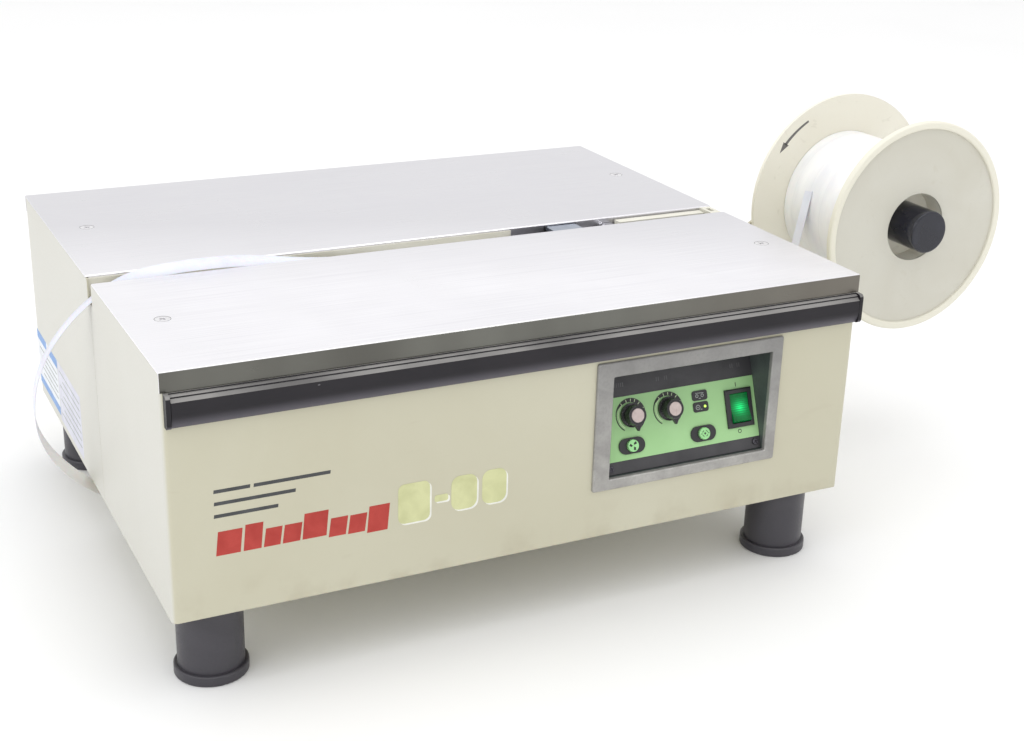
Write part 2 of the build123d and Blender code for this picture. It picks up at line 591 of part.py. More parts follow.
with BuildPart(TABLE) as motor:
    rod_x(MOTOR_X, MOTOR_Y, MOTOR_Z, MOTOR_RADIUS)
    fillet(motor.edges().filter_by(GeomType.CIRCLE), 6.0)
    rod_x((MOTOR_X[1], MOTOR_X[1] + 10.0), MOTOR_Y, MOTOR_Z, 20.0)
    for start in (408.0, 515.0):
        block(
            (start, start + 14.0),
            (MOTOR_Y - 48.0, MOTOR_Y + 48.0),
            (BOTTOM + PAN, MOTOR_Z - 30.0),
        )
    rod_x((MOTOR_X[1] - 40.0, MOTOR_X[1] + 11.0), MOTOR_Y, MOTOR_Z, MOTOR_SHAFT + RUNNING, Mode.SUBTRACT)
    block((430.0, 500.0), (MOTOR_Y - 30.0, MOTOR_Y + 30.0), (MOTOR_Z + 40.0, MOTOR_Z + 72.0))
motor.part.label = "motor"
export_step(motor.part, "parts/motor.step")

with BuildPart(TABLE) as motor_shaft:
    pulley(MOTOR_Y, MOTOR_Z, MOTOR_PULLEY)
    rod_x((MOTOR_X[1] - 39.0, PULLEY_X[1] + 4.0), MOTOR_Y, MOTOR_Z, MOTOR_SHAFT)
motor_shaft.part.label = "motor_shaft"
export_step(motor_shaft.part, "parts/motor_shaft.step")

# Belt around both pulleys, clear of the groove floors by a running gap.
BELT = 2.0
BELT_GAP = 0.3
with BuildPart() as drive_belt:
    with BuildSketch(facing_right((PULLEY_X[0] + PULLEY_X[1] - BELT_WIDTH) / 2)):
        run = math.hypot(MOTOR_Y - HEAD_Y, MOTOR_Z - CAM_Z)
        slope = math.atan2(MOTOR_Z - CAM_Z, MOTOR_Y - HEAD_Y)
        for grow, how in ((BELT_GAP + BELT, Mode.ADD), (BELT_GAP, Mode.SUBTRACT)):
            big = CAM_PULLEY - GROOVE + grow
            small = MOTOR_PULLEY - GROOVE + grow
            open_angle = math.acos((big - small) / run)
            ends = []
            for turn in (slope + open_angle, slope - open_angle):
                out = (math.cos(turn), math.sin(turn))
                ends.append((HEAD_Y + big * out[0], CAM_Z + big * out[1]))
                ends.append((MOTOR_Y + small * out[0], MOTOR_Z + small * out[1]))
            with BuildLine():
                Line(ends[0], ends[1])
                tip = (MOTOR_Y + small * math.cos(slope), MOTOR_Z + small * math.sin(slope))
                ThreePointArc(ends[1], tip, ends[3])
                Line(ends[3], ends[2])
                tail = (HEAD_Y - big * math.cos(slope), CAM_Z - big * math.sin(slope))
                ThreePointArc(ends[2], tail, ends[0])
            make_face(mode=how)
    extrude(amount=BELT_WIDTH)
drive_belt.part.label = "drive_belt"
export_step(drive_belt.part, "parts/drive_belt.step")

with BuildPart(TABLE) as feed_roller:
    rod_y(FEED_X, ROLLER_Y, FEED_Z, FEED_RADIUS)
    rod_y(FEED_X, (230.0, 273.0), FEED_Z, FEED_JOURNAL)
feed_roller.part.label = "feed_roller"
export_step(feed_roller.part, "parts/feed_roller.step")

with BuildPart(TABLE) as pressure_roller:
    rod_y(PRESSURE_X, ROLLER_Y, FEED_Z, PRESSURE_RADIUS)
    rod_y(PRESSURE_X, (230.0, 273.0), FEED_Z, PRESSURE_JOURNAL)
pressure_roller.part.label = "pressure_roller"
export_step(pressure_roller.part, "parts/pressure_roller.step")

# ---------------------------------------------------------------------------
# Electrics
# ---------------------------------------------------------------------------
with BuildPart(TABLE) as transformer:
    block((150.0, 236.0), (360.0, 432.0), (BOTTOM + PAN, BOTTOM + PAN + 66.0))
    block((164.0, 222.0), (346.0, 446.0), (BOTTOM + PAN + 12.0, BOTTOM + PAN + 54.0))
    fillet(transformer.edges().filter_by(Axis.Z).group_by(Axis.Y)[0], 6.0)
transformer.part.label = "transformer"
export_step(transformer.part, "parts/transformer.step")

BOX_WALL = 2.0
BOX_DEPTH = 46.0
INLET_SIZE = (27.0, 19.6)
with BuildPart(TABLE) as mains_inlet:
    block(
        (INLET_X - 24.0, INLET_X + 24.0),
        (CABINET_DEPTH, CABINET_DEPTH + INLET_PROUD),
        (INLET_Z - 14.0, INLET_Z + 14.0),
    )
    fillet(mains_inlet.edges().filter_by(Axis.Y), 5.0)
    block(
        (INLET_X - INLET_SIZE[0] / 2, INLET_X + INLET_SIZE[0] / 2),
        (CABINET_DEPTH - 26.0, CABINET_DEPTH + 1.0),
        (INLET_Z - INLET_SIZE[1] / 2, INLET_Z + INLET_SIZE[1] / 2),
    )
    block(
        (INLET_X - 11.5, INLET_X + 11.5),
        (CABINET_DEPTH - 16.0, CABINET_DEPTH + 3.0),
        (INLET_Z - 7.6, INLET_Z + 7.6),
        Mode.SUBTRACT,
    )
    for x, z in ((-6.5, -1.5), (6.5, -1.5), (0.0, 2.5)):
        block(
            (INLET_X + x - 1.0, INLET_X + x + 1.0),
            (CABINET_DEPTH - 17.0, CABINET_DEPTH - 3.0),
            (INLET_Z + z - 2.2, INLET_Z + z + 2.2),
        )
mains_inlet.part.label = "mains_inlet"
export_step(mains_inlet.part, "parts/mains_inlet.step")

# ---------------------------------------------------------------------------
# Control recess.  The panel parts are placed on its slope: X from the left
# face of the cabinet, Y up the slope, Z out of the panel.
# ---------------------------------------------------------------------------
with BuildPart(TABLE) as control_box:
    block(
        (CONTROL_X[0] - BOX_WALL, CONTROL_X[1] + BOX_WALL),
        (SHEET, BOX_DEPTH),
        (CONTROL_Z[0] - BOX_WALL, CONTROL_Z[1] + BOX_WALL),
    )
    block(CONTROL_X, (0, BOX_DEPTH - BOX_WALL), CONTROL_Z, Mode.SUBTRACT)
control_box.part.label = "control_box"
export_step(control_box.part, "parts/control_box.step")

with BuildPart() as control_bezel:
    middle_x = (BEZEL_X[0] + BEZEL_X[1]) / 2
    middle_z = (BEZEL_Z[0] + BEZEL_Z[1]) / 2
    opening_x = (CONTROL_X[0] + CONTROL_X[1]) / 2
    opening_z = (CONTROL_Z[0] + CONTROL_Z[1]) / 2
    with BuildSketch(facing_front(0.0)):
        with Locations((middle_x, middle_z)):
            RectangleRounded(BEZEL_X[1] - BEZEL_X[0], BEZEL_Z[1] - BEZEL_Z[0], 2.2)
    extrude(amount=BEZEL_PROUD)
    chamfer(control_bezel.faces().sort_by(Axis.Y)[0].edges(), 1.0)
    with BuildSketch(facing_front(SHEET)):
        with Locations((opening_x, opening_z)):
            RectangleRounded(CONTROL_X[1] - CONTROL_X[0] + 5.0, CONTROL_Z[1] - CONTROL_Z[0] + 5.0, 1.2)
    extrude(amount=SHEET)
    with BuildSketch(facing_front(SHEET)):
        with Locations((opening_x, opening_z)):
            RectangleRounded(CONTROL_X[1] - CONTROL_X[0], CONTROL_Z[1] - CONTROL_Z[0], 1.2)
    extrude(amount=SHEET + BEZEL_PROUD, mode=Mode.SUBTRACT)
    chamfer(control_bezel.faces().sort_by(Axis.Y)[0].inner_wires().edges(), 0.8)
control_bezel.part.label = "control_bezel"
export_step(control_bezel.part, "parts/control_bezel.step")

PANEL_X = (CONTROL_X[0] + 0.3, CONTROL_X[1] - 0.3)
PANEL_U = (1.0, 107.0)
OVERLAY_U = (12.5, 72.0)
FILM = 0.4
DIALS = ((444.8, 53.6), (485.6, 53.8))
BUTTONS = ((441.7, 25.3), (520.5, 24.5))
SWITCH = (564.0, 42.7)
SWITCH_SIZE = (30.0, 37.5)
SWITCH_BODY = (26.0, 33.5)
PANEL_SCREWS = ((417.0, 6.5), (578.0, 7.5), (417.0, 101.0), (578.0, 101.0))
WINDOWS = ((521.5, 61.0), (521.5, 50.0))

with BuildPart(PANEL) as control_panel:
    block(PANEL_X, PANEL_U, (-2.0, 0.0))
    with Locations(*[(x, u, 0) for x, u in DIALS]):
        Hole(3.6, 2.0)
    with Locations(*[(x, u, 0) for x, u in BUTTONS]):
        Hole(4.0, 2.0)
    with Locations(*[(x, u, 0) for x, u in PANEL_SCREWS]):
        Hole(1.7, 2.0)
    block(
        (SWITCH[0] - SWITCH_BODY[0] / 2 - 0.3, SWITCH[0] + SWITCH_BODY[0] / 2 + 0.3),
        (SWITCH[1] - SWITCH_BODY[1] / 2 - 0.3, SWITCH[1] + SWITCH_BODY[1] / 2 + 0.3),
        (-3.0, 1.0),
        Mode.SUBTRACT,
    )
control_panel.part.label = "control_panel"
export_step(control_panel.part, "parts/control_panel.step")

with BuildPart(PANEL) as panel_overlay:
    block(PANEL_X, OVERLAY_U, (0.0, FILM))
    with Locations(*[(x, u, FILM) for x, u in DIALS]):
        Hole(3.6, FILM)
    with Locations(*[(x, u, FILM) for x, u in BUTTONS]):
        Hole(4.0, FILM)
    block(
        (SWITCH[0] - SWITCH_BODY[0] / 2 - 0.3, SWITCH[0] + SWITCH_BODY[0] / 2 + 0.3),
        (SWITCH[1] - SWITCH_BODY[1] / 2 - 0.3, SWITCH[1] + SWITCH_BODY[1] / 2 + 0.3),
        (-1.0, 1.0),
        Mode.SUBTRACT,
    )
panel_overlay.part.label = "panel_overlay"
export_step(panel_overlay.part, "parts/panel_overlay.step")

with BuildPart(PANEL) as panel_screws:
    with Locations(*[(x, u, 0) for x, u in PANEL_SCREWS]):
        Cylinder(3.2, 1.8, align=(Align.CENTER, Align.CENTER, Align.MIN))
    fillet(panel_screws.edges().group_by(Axis((0, 0, 0), PANEL.z_dir))[-1], 0.8)
    with Locations(*[(x, u, 0) for x, u in PANEL_SCREWS]):
        Cylinder(1.5, 6.0, align=(Align.CENTER, Align.CENTER, Align.MAX))
    for turn in (20.0, 110.0):
        with Locations(*[Location((x, u, 1.6), (0, 0, turn)) for x, u in PANEL_SCREWS]):
            Box(3.8, 0.8, 1.4, mode=Mode.SUBTRACT)
panel_screws.part.label = "panel_screws"
export_step(panel_screws.part, "parts/panel_screws.step")

with BuildPart() as control_electronics:
    with Locations(TABLE):
        board = BOX_DEPTH + 6.0
        block((420.0, 575.0), (board, board + 1.6), (-160.0, -72.0))
        for x in (426.0, 569.0):
            for z in (-154.0, -78.0):
                rod_y(x, (BOX_DEPTH, board), z, 3.0)
        block((440.0, 470.0), (board + 1.6, board + 16.0), (-110.0, -86.0))
        block((500.0, 552.0), (board + 1.6, board + 7.0), (-148.0, -126.0))
        for x in (490.0, 512.0, 534.0):
            rod_y(x, (board + 1.6, board + 22.0), -96.0, 8.0)
    # the two potentiometers, on the back of the panel
    with Locations(PANEL):
        with Locations(*[(x, u, -2.0) for x, u in DIALS]):
            Cylinder(8.0, 9.0, align=(Align.CENTER, Align.CENTER, Align.MAX))
            Cylinder(3.05, 9.0, align=(Align.CENTER, Align.CENTER, Align.MAX), mode=Mode.SUBTRACT)
control_electronics.part.label = "control_electronics"
export_step(control_electronics.part, "parts/control_electronics.step")

KNOB_RADIUS = 11.5
KNOB_TOP = 14.0
CAP_RADIUS = 6.6
FLUTES = 24
POINTER_TURN = 270.0        # pointer direction at rest, below the low end of the scale
POINTER_REACH = 14.6

for name, (x, u) in zip(("tension", "timer"), DIALS):
    with BuildPart(PANEL) as knob:
        with Locations((x, u, FILM + 0.8)):
            Cylinder(KNOB_RADIUS, 3.0, align=(Align.CENTER, Align.CENTER, Align.MIN))
        with Locations((x, u, FILM + 3.8)):
            Cone(
                KNOB_RADIUS - 1.2,
                KNOB_RADIUS - 2.4,
                KNOB_TOP - FILM - 3.8,
                align=(Align.CENTER, Align.CENTER, Align.MIN),
            )
        with Locations((x, u, KNOB_TOP)):
            with PolarLocations(KNOB_RADIUS - 0.9, FLUTES):
                Cylinder(0.9, 9.0, align=(Align.CENTER, Align.CENTER, Align.MAX), mode=Mode.SUBTRACT)
        nose = Plane(PANEL.from_local_coords(Vector(x, u, KNOB_TOP - 4.0)), PANEL.x_dir, PANEL.z_dir)
        with BuildSketch(nose):
            with Locations(Location((0, 0, 0), (0, 0, POINTER_TURN))):
                Polygon(
                    (4.0, -6.2),
                    (POINTER_REACH, -0.4),
                    (POINTER_REACH, 0.4),
                    (4.0, 6.2),
                    align=None,
                )
        extrude(amount=3.4)
        with Locations((x, u, KNOB_TOP)):
            Cylinder(
                CAP_RADIUS + 0.1, 1.0, align=(Align.CENTER, Align.CENTER, Align.MAX), mode=Mode.SUBTRACT
            )
        with Locations((x, u, FILM + 0.8)):
            Cylinder(3.0, 11.0, align=(Align.CENTER, Align.CENTER, Align.MAX))
    knob.part.label = f"{name}_knob"
    export_step(knob.part, f"parts/{name}_knob.step")

    with BuildPart(PANEL) as knob_cap:
        with Locations((x, u, KNOB_TOP - 1.0)):
            Cylinder(CAP_RADIUS, 1.6, align=(Align.CENTER, Align.CENTER, Align.MIN))
        fillet(knob_cap.edges().group_by(Axis((0, 0, 0), PANEL.z_dir))[-1], 0.5)
        with Locations(Location((x, u, KNOB_TOP + 0.6), (0, 0, POINTER_TURN))):
            Box(
                CAP_RADIUS + 1,
                1.2,
                0.6,
                align=(Align.MIN, Align.CENTER, Align.CENTER),
                mode=Mode.SUBTRACT,
            )
    knob_cap.part.label = f"{name}_knob_cap"
    export_step(knob_cap.part, f"parts/{name}_knob_cap.step")

BUTTON_RADIUS = 5.8
BUTTON_TRAVEL = 1.5
# Oval button surrounds and the two indicator windows, on the overlay.
with BuildPart() as panel_mouldings:
    for x, u in BUTTONS:
        with BuildSketch(Plane(PANEL.from_local_coords(Vector(x, u, FILM)), PANEL.x_dir, PANEL.z_dir)):
            SlotOverall(28.0, 15.0)
            Circle(BUTTON_RADIUS + 0.4, mode=Mode.SUBTRACT)
        extrude(amount=1.4)
    for x, u in WINDOWS:
        with BuildSketch(Plane(PANEL.from_local_coords(Vector(x, u, FILM)), PANEL.x_dir, PANEL.z_dir)):
            RectangleRounded(17.0, 9.6, 2.5)
        extrude(amount=0.7)
panel_mouldings.part.label = "panel_mouldings"
export_step(panel_mouldings.part, "parts/panel_mouldings.step")

for name, (x, u) in zip(("reset", "feed"), BUTTONS):
    with BuildPart(PANEL) as button:
        with Locations((x, u, FILM + BUTTON_TRAVEL + 0.3)):
            Cylinder(BUTTON_RADIUS, 2.4, align=(Align.CENTER, Align.CENTER, Align.MIN))
        fillet(button.edges().group_by(Axis((0, 0, 0), PANEL.z_dir))[-1], 0.6)
        with Locations((x, u, FILM + BUTTON_TRAVEL + 0.3)):
            Cylinder(3.4, 8.0, align=(Align.CENTER, Align.CENTER, Align.MAX))
    button.part.label = f"{name}_button"
    export_step(button.part, f"parts/{name}_button.step")

# Rocker switch: the rocker's ends are arcs about its pivot, so that the gap
# to the housing stays the same while it tilts.
ROCKER_WIDTH = 20.0
ROCKER_HALF = 14.2
ROCKER_PIVOT = -1.0         # below the panel's face
ROCKER_GAP = 0.4
ROCKER_THROW = 8.0          # each way from the middle

with BuildPart(PANEL) as switch_housing:
    block(
        (SWITCH[0] - SWITCH_SIZE[0] / 2, SWITCH[0] + SWITCH_SIZE[0] / 2),
        (SWITCH[1] - SWITCH_SIZE[1] / 2, SWITCH[1] + SWITCH_SIZE[1] / 2),
        (FILM, FILM + 2.6),
    )
    chamfer(switch_housing.edges().group_by(Axis((0, 0, 0), PANEL.z_dir))[-1], 0.9)
    block(
        (SWITCH[0] - SWITCH_BODY[0] / 2, SWITCH[0] + SWITCH_BODY[0] / 2),
        (SWITCH[1] - SWITCH_BODY[1] / 2, SWITCH[1] + SWITCH_BODY[1] / 2),
        (-11.0, FILM),
    )
    block(
        (SWITCH[0] - ROCKER_WIDTH / 2 - ROCKER_GAP, SWITCH[0] + ROCKER_WIDTH / 2 + ROCKER_GAP),
        (SWITCH[1] - ROCKER_HALF - ROCKER_GAP, SWITCH[1] + ROCKER_HALF + ROCKER_GAP),
        (-10.0, 5.0),
        Mode.SUBTRACT,
    )
switch_housing.part.label = "switch_housing"
export_step(switch_housing.part, "parts/switch_housing.step")

# Section of the rocker across its pivot: X up the slope, Y out of the panel.
ROCKER_SECTION = Plane(
    PANEL.from_local_coords(Vector(SWITCH[0] - ROCKER_WIDTH / 2, SWITCH[1], ROCKER_PIVOT)),
    x_dir=PANEL.y_dir,
    z_dir=PANEL.x_dir,
)
with BuildPart() as power_rocker:
    with BuildSketch(ROCKER_SECTION):
        Circle(ROCKER_HALF)
        with BuildLine():
            ridge = 3.4
            reach = 20.0
            raised = ridge + reach * math.tan(math.radians(2 * ROCKER_THROW))
            Polyline((reach, ridge), (0, ridge), (-reach, raised), (-reach, 30), (reach, 30), close=True)
        make_face(mode=Mode.SUBTRACT)
        with Locations((0, -5.0)):
            Rectangle(2 * reach, reach, align=(Align.CENTER, Align.MAX), mode=Mode.SUBTRACT)
    extrude(amount=ROCKER_WIDTH)
power_rocker.part.label = "power_rocker"
export_step(power_rocker.part, "parts/power_rocker.step")

# ---------------------------------------------------------------------------
# Strap reel
# ---------------------------------------------------------------------------
REEL_X = CABINET_LENGTH + REEL_REACH
REEL_Z = -REEL_DROP
HUB_GAP = 0.08


def flange(outer_face, direction, radius):
    """A moulded disc with a rim that stands out from the reel along direction."""
    inner_face = outer_face - direction * FLANGE
    rim_face = outer_face + direction * FLANGE_RIM
    rod_y(REEL_X, sorted((inner_face, rim_face)), REEL_Z, radius)
    rod_y(REEL_X, sorted((outer_face, rim_face + direction)), REEL_Z, radius - RIM_WIDTH, Mode.SUBTRACT)
    rod_y(REEL_X, sorted((inner_face - direction, outer_face + direction)), REEL_Z, CORE_INNER, Mode.SUBTRACT)


with BuildPart(TABLE) as reel_front_flange:
    flange(REEL_FRONT, -1, REEL_FRONT_RADIUS)
    fillet(reel_front_flange.faces().sort_by(Axis.Y)[0].edges(), RIM_ROUND)
reel_front_flange.part.label = "reel_front_flange"
export_step(reel_front_flange.part, "parts/reel_front_flange.step")

with BuildPart(TABLE) as reel_back_flange:
    flange(REEL_BACK, 1, REEL_RADIUS)
    fillet(reel_back_flange.faces().sort_by(Axis.Y)[-1].edges(), RIM_ROUND)
reel_back_flange.part.label = "reel_back_flange"
export_step(reel_back_flange.part, "parts/reel_back_flange.step")

CORE_Y = (REEL_FRONT + FLANGE, REEL_BACK - FLANGE)
with BuildPart(TABLE) as reel_core:
    rod_y(REEL_X, CORE_Y, REEL_Z, CORE_OUTER)
    rod_y(REEL_X, (CORE_Y[0] - 1, CORE_Y[1] + 1), REEL_Z, CORE_INNER, Mode.SUBTRACT)
    # two hubs inside the core run on the spindle
    for start in (206.0, 290.0):
        rod_y(REEL_X, (start, start + 6.0), REEL_Z, CORE_INNER)
        rod_y(REEL_X, (start, start + 14.0), REEL_Z, SPINDLE_RADIUS + 4.0)
        rod_y(REEL_X, (start - 1, start + 15.0), REEL_Z, SPINDLE_RADIUS + HUB_GAP, Mode.SUBTRACT)
reel_core.part.label = "reel_core"
export_step(reel_core.part, "parts/reel_core.step")

with BuildPart(TABLE) as strap_coil:
    rod_y(REEL_X, (CORE_Y[0] + 0.5, CORE_Y[1] - 0.5), REEL_Z, COIL_RADIUS)
    rod_y(REEL_X, CORE_Y, REEL_Z, CORE_OUTER, Mode.SUBTRACT)
strap_coil.part.label = "strap_coil"
export_step(strap_coil.part, "parts/strap_coil.step")

with BuildPart(TABLE) as spindle:
    rod_y(REEL_X, (SPINDLE_FRONT, ARM_FRONT - NUT), REEL_Z, SPINDLE_RADIUS)
    fillet(spindle.faces().sort_by(Axis.Y)[0].edges(), 2.6)
    rod_y(REEL_X, (SPINDLE_FRONT + 12.0, ARM_FRONT + ARM + NUT + 6.0), REEL_Z, SHAFT_RADIUS)
spindle.part.label = "spindle"
export_step(spindle.part, "parts/spindle.step")

# Guide roller under the coil, on a pin from the bracket arm.
GUIDE_RADIUS = 12.0
GUIDE_Y = (236.0, 269.0)
GUIDE_PIN = 4.0
DEPART = math.radians(162.0)            # where the strap leaves the coil
LEAD_RADIUS = COIL_RADIUS + 0.3 + STRAP_THICKNESS / 2
ROLL_RADIUS = GUIDE_RADIUS + 0.3 + STRAP_THICKNESS / 2
GUIDE_Z = ENTRY_Z + ROLL_RADIUS
leave_x = REEL_X + LEAD_RADIUS * math.cos(DEPART)
leave_z = REEL_Z + LEAD_RADIUS * math.sin(DEPART)
meet_turn = DEPART - math.pi
meet_z = GUIDE_Z + ROLL_RADIUS * math.sin(meet_turn)
meet_x = leave_x - (leave_z - meet_z) / math.tan(DEPART - math.pi / 2)
GUIDE_X = meet_x - ROLL_RADIUS * math.cos(meet_turn)

with BuildPart(TABLE) as reel_bracket:
    with BuildSketch(facing_front(ARM_FRONT + ARM)):
        with BuildLine():
            Polyline(
                (CABINET_LENGTH, -205.0),
                (CABINET_LENGTH, -75.0),
                (775.0, -62.0),
                (868.0, -3.0),
                (887.0, 7.0),
                (915.0, 7.0),
                (933.0, -11.0),
                (933.0, -39.0),
                (917.0, -56.0),
                (800.0, -140.0),
                (785.0, -205.0),
                close=True,
            )
        make_face()
        fillet(vertices().filter_by(lambda v: v.X > X_LEFT + CABINET_LENGTH + 1), 9.0)
        with Locations((REEL_X, REEL_Z)):
            Circle(SHAFT_RADIUS, mode=Mode.SUBTRACT)
    extrude(amount=ARM)
    block((CABINET_LENGTH, CABINET_LENGTH + ARM), (ARM_FRONT - 46.0, ARM_FRONT + ARM), (-205.0, -75.0))
    with BuildSketch(facing_right(CABINET_LENGTH + ARM)):
        with Locations((ARM_FRONT - 24.0, -140.0)):
            with GridLocations(0, 96.0, 1, 2):
                Circle(4.3)
    extrude(amount=-ARM, mode=Mode.SUBTRACT)
    # pin of the guide roller, with a collar on each side of the roller
    rod_y(GUIDE_X, (GUIDE_Y[0] - 6.0, ARM_FRONT + ARM + 4.0), GUIDE_Z, GUIDE_PIN)
    rod_y(GUIDE_X, (GUIDE_Y[0] - 6.0, GUIDE_Y[0] - 1.0), GUIDE_Z, 7.0)
    rod_y(GUIDE_X, (GUIDE_Y[1] + 1.0, ARM_FRONT), GUIDE_Z, 7.0)
reel_bracket.part.label = "reel_bracket"
export_step(reel_bracket.part, "parts/reel_bracket.step")

# Bolts of the bracket and the two nuts of the spindle.
with BuildPart() as bracket_fasteners:
    with BuildSketch(facing_right(CABINET_LENGTH + ARM)):
        with Locations((ARM_FRONT - 24.0, -140.0)):
            with GridLocations(0, 96.0, 1, 2):
                RegularPolygon(7.5, 6)
    extrude(amount=5.0)
    with BuildSketch(facing_right(CABINET_LENGTH)):
        with Locations((ARM_FRONT - 24.0, -140.0)):
            with GridLocations(0, 96.0, 1, 2):
                Circle(4.0)
    extrude(amount=ARM)
    for end in (ARM_FRONT, ARM_FRONT + ARM + NUT):
        with BuildSketch(facing_front(end)):
            with Locations((REEL_X, REEL_Z)):
                RegularPolygon(14.0, 6)
                Circle(SHAFT_RADIUS, mode=Mode.SUBTRACT)
        extrude(amount=NUT)
bracket_fasteners.part.label = "bracket_fasteners"
export_step(bracket_fasteners.part, "parts/bracket_fasteners.step")

with BuildPart(TABLE) as guide_roller:
    rod_y(GUIDE_X, GUIDE_Y, GUIDE_Z, GUIDE_RADIUS + 6.0)
    with BuildPart(mode=Mode.PRIVATE) as groove:
        with Locations((GUIDE_X, (GUIDE_Y[0] + GUIDE_Y[1]) / 2, GUIDE_Z)):
            Cylinder(GUIDE_RADIUS + 7.0, GUIDE_Y[1] - GUIDE_Y[0] - 6.0, rotation=(90, 0, 0))
            Cylinder(GUIDE_RADIUS, GUIDE_Y[1] - GUIDE_Y[0], rotation=(90, 0, 0), mode=Mode.SUBTRACT)
    add(groove.part, mode=Mode.SUBTRACT)
    rod_y(GUIDE_X, (GUIDE_Y[0] - 1, GUIDE_Y[1] + 1), GUIDE_Z, GUIDE_PIN + RUNNING, Mode.SUBTRACT)
guide_roller.part.label = "guide_roller"
export_step(guide_roller.part, "parts/guide_roller.step")

with BuildPart(TABLE) as strap_entry_guide:
    block(
        (CABINET_LENGTH, CABINET_LENGTH + 5.0),
        (ENTRY_Y - 18.0, ENTRY_Y + 18.0),
        (ENTRY_Z - 9.0, ENTRY_Z + 17.0),
    )
    fillet(strap_entry_guide.edges().filter_by(Axis.X), 4.0)
    block(
        (CABINET_LENGTH - 12.0, CABINET_LENGTH + 1.0),
        (ENTRY_Y - 13.0, ENTRY_Y + 13.0),
        (ENTRY_Z - 4.5, ENTRY_Z + 12.5),
    )
    block(
        (CABINET_LENGTH - 13.0, CABINET_LENGTH + 6.0),
        (ENTRY_Y - 9.5, ENTRY_Y + 9.5),
        (ENTRY_Z - 2.0, ENTRY_Z + 10.0),
        Mode.SUBTRACT,
    )
strap_entry_guide.part.label = "strap_entry_guide"
export_step(strap_entry_guide.part, "parts/strap_entry_guide.step")

# Strap drawn from the coil, under the guide roller and into the cabinet.
COIL_LEAVE_Y = 279.0
with BuildPart(TABLE) as strap_lead:
    start = Vector(leave_x, COIL_LEAVE_Y, leave_z)
    end = Vector(meet_x, ENTRY_Y, meet_z)
    run = end - start
    out = Vector(-math.cos(meet_turn), 0, -math.sin(meet_turn))
    ribbon = Plane(TABLE.from_local_coords((start + end) / 2), x_dir=run, z_dir=out)
    with BuildSketch(ribbon.offset(-STRAP_THICKNESS / 2)):
        Rectangle(run.length - 2.0, STRAP_WIDTH)
    extrude(amount=STRAP_THICKNESS)
    block(
        (CABINET_LENGTH - 20.0, GUIDE_X - 1.5),
        (ENTRY_Y - STRAP_WIDTH / 2, ENTRY_Y + STRAP_WIDTH / 2),
        (ENTRY_Z - STRAP_THICKNESS / 2, ENTRY_Z + STRAP_THICKNESS / 2),
    )
strap_lead.part.label = "strap_lead"
export_step(strap_lead.part, "parts/strap_lead.step")
print("guide roller at", round(GUIDE_X, 1), round(GUIDE_Z, 1))

# ---------------------------------------------------------------------------
# Free strap: out of the sealing head, along the trough and up beside the edge
# of the front plate, down through the notch and round under the cabinet to the
# floor.  A round tube of the strap's own section area stands for the flat band.
# ---------------------------------------------------------------------------
TAIL_DIAMETER = math.sqrt(4 * STRAP_WIDTH * STRAP_THICKNESS / math.pi)
ON_FLOOR = FLOOR + TAIL_DIAMETER / 2 + 0.1
TAIL_ROUTE = [
    (438.0, 251.5, -8.0),
    (395.0, 252.5, -15.0),
    (341.0, 250.5, -18.0),
    (286.0, 250.0, -11.0),
    (234.0, 248.5, -6.0),
    (186.0, 246.5, -1.5),
    (134.0, 245.0, 4.8),
    (82.0, 245.0, 4.8),
    (42.0, 247.0, 0.0),
    (10.0, 250.5, -12.0),
    (-20.0, 251.0, -36.0),
    (-43.0, 253.0, -66.0),
    (-56.0, 258.0, -102.0),
    (-56.0, 268.0, -142.0),
    (-43.0, 284.0, -178.0),
    (-22.0, 303.0, -211.0),
    (4.0, 323.0, -241.0),
    (34.0, 344.0, -268.0),
    (72.0, 364.0, -288.0),
    (118.0, 380.0, ON_FLOOR),
    (170.0, 384.0, ON_FLOOR),
    (222.0, 378.0, ON_FLOOR),
    (272.0, 364.0, ON_FLOOR),
]

points = [Vector(*point) for point in TAIL_ROUTE]
runs = [(after - before).length for before, after in zip(points, points[1:])]
turns = []
radii = []
for index in range(1, len(points) - 1):
    turn = (points[index] - points[index - 1]).get_angle(points[index + 1] - points[index])
    shorter = min(runs[index - 1], runs[index])
    turns.append(turn)
    radii.append(0.45 * shorter / math.tan(math.radians(turn) / 2))
tail_length = sum(runs)
for turn, radius in zip(turns, radii):
    tail_length += radius * (math.radians(turn) - 2 * math.tan(math.radians(turn) / 2))

with BuildPart() as strap_tail:
    with BuildLine(TABLE) as route:
        FilletPolyline(*TAIL_ROUTE, radius=radii)
    with BuildSketch(Plane(origin=route.wire() @ 0, z_dir=route.wire() % 0)):
        Circle(TAIL_DIAMETER / 2)
    sweep(path=route.wire())
strap_tail.part.label = "strap_tail"
export_step(strap_tail.part, "parts/strap_tail.step")

print("tail runs", [round(run) for run in runs])
print("tail turns", [round(turn) for turn in turns])
print("tail radii", [round(radius) for radius in radii])
print("tail length", round(tail_length, 1), "diameter", round(TAIL_DIAMETER, 2))
section = math.pi * TAIL_DIAMETER ** 2 / 4
print("tail volume", round(strap_tail.part.volume), "section times length", round(section * tail_length))
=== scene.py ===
"""Looks of a semi automatic strapping machine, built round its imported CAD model."""

import math

import bmesh
import bpy
from mathutils import Matrix, Vector


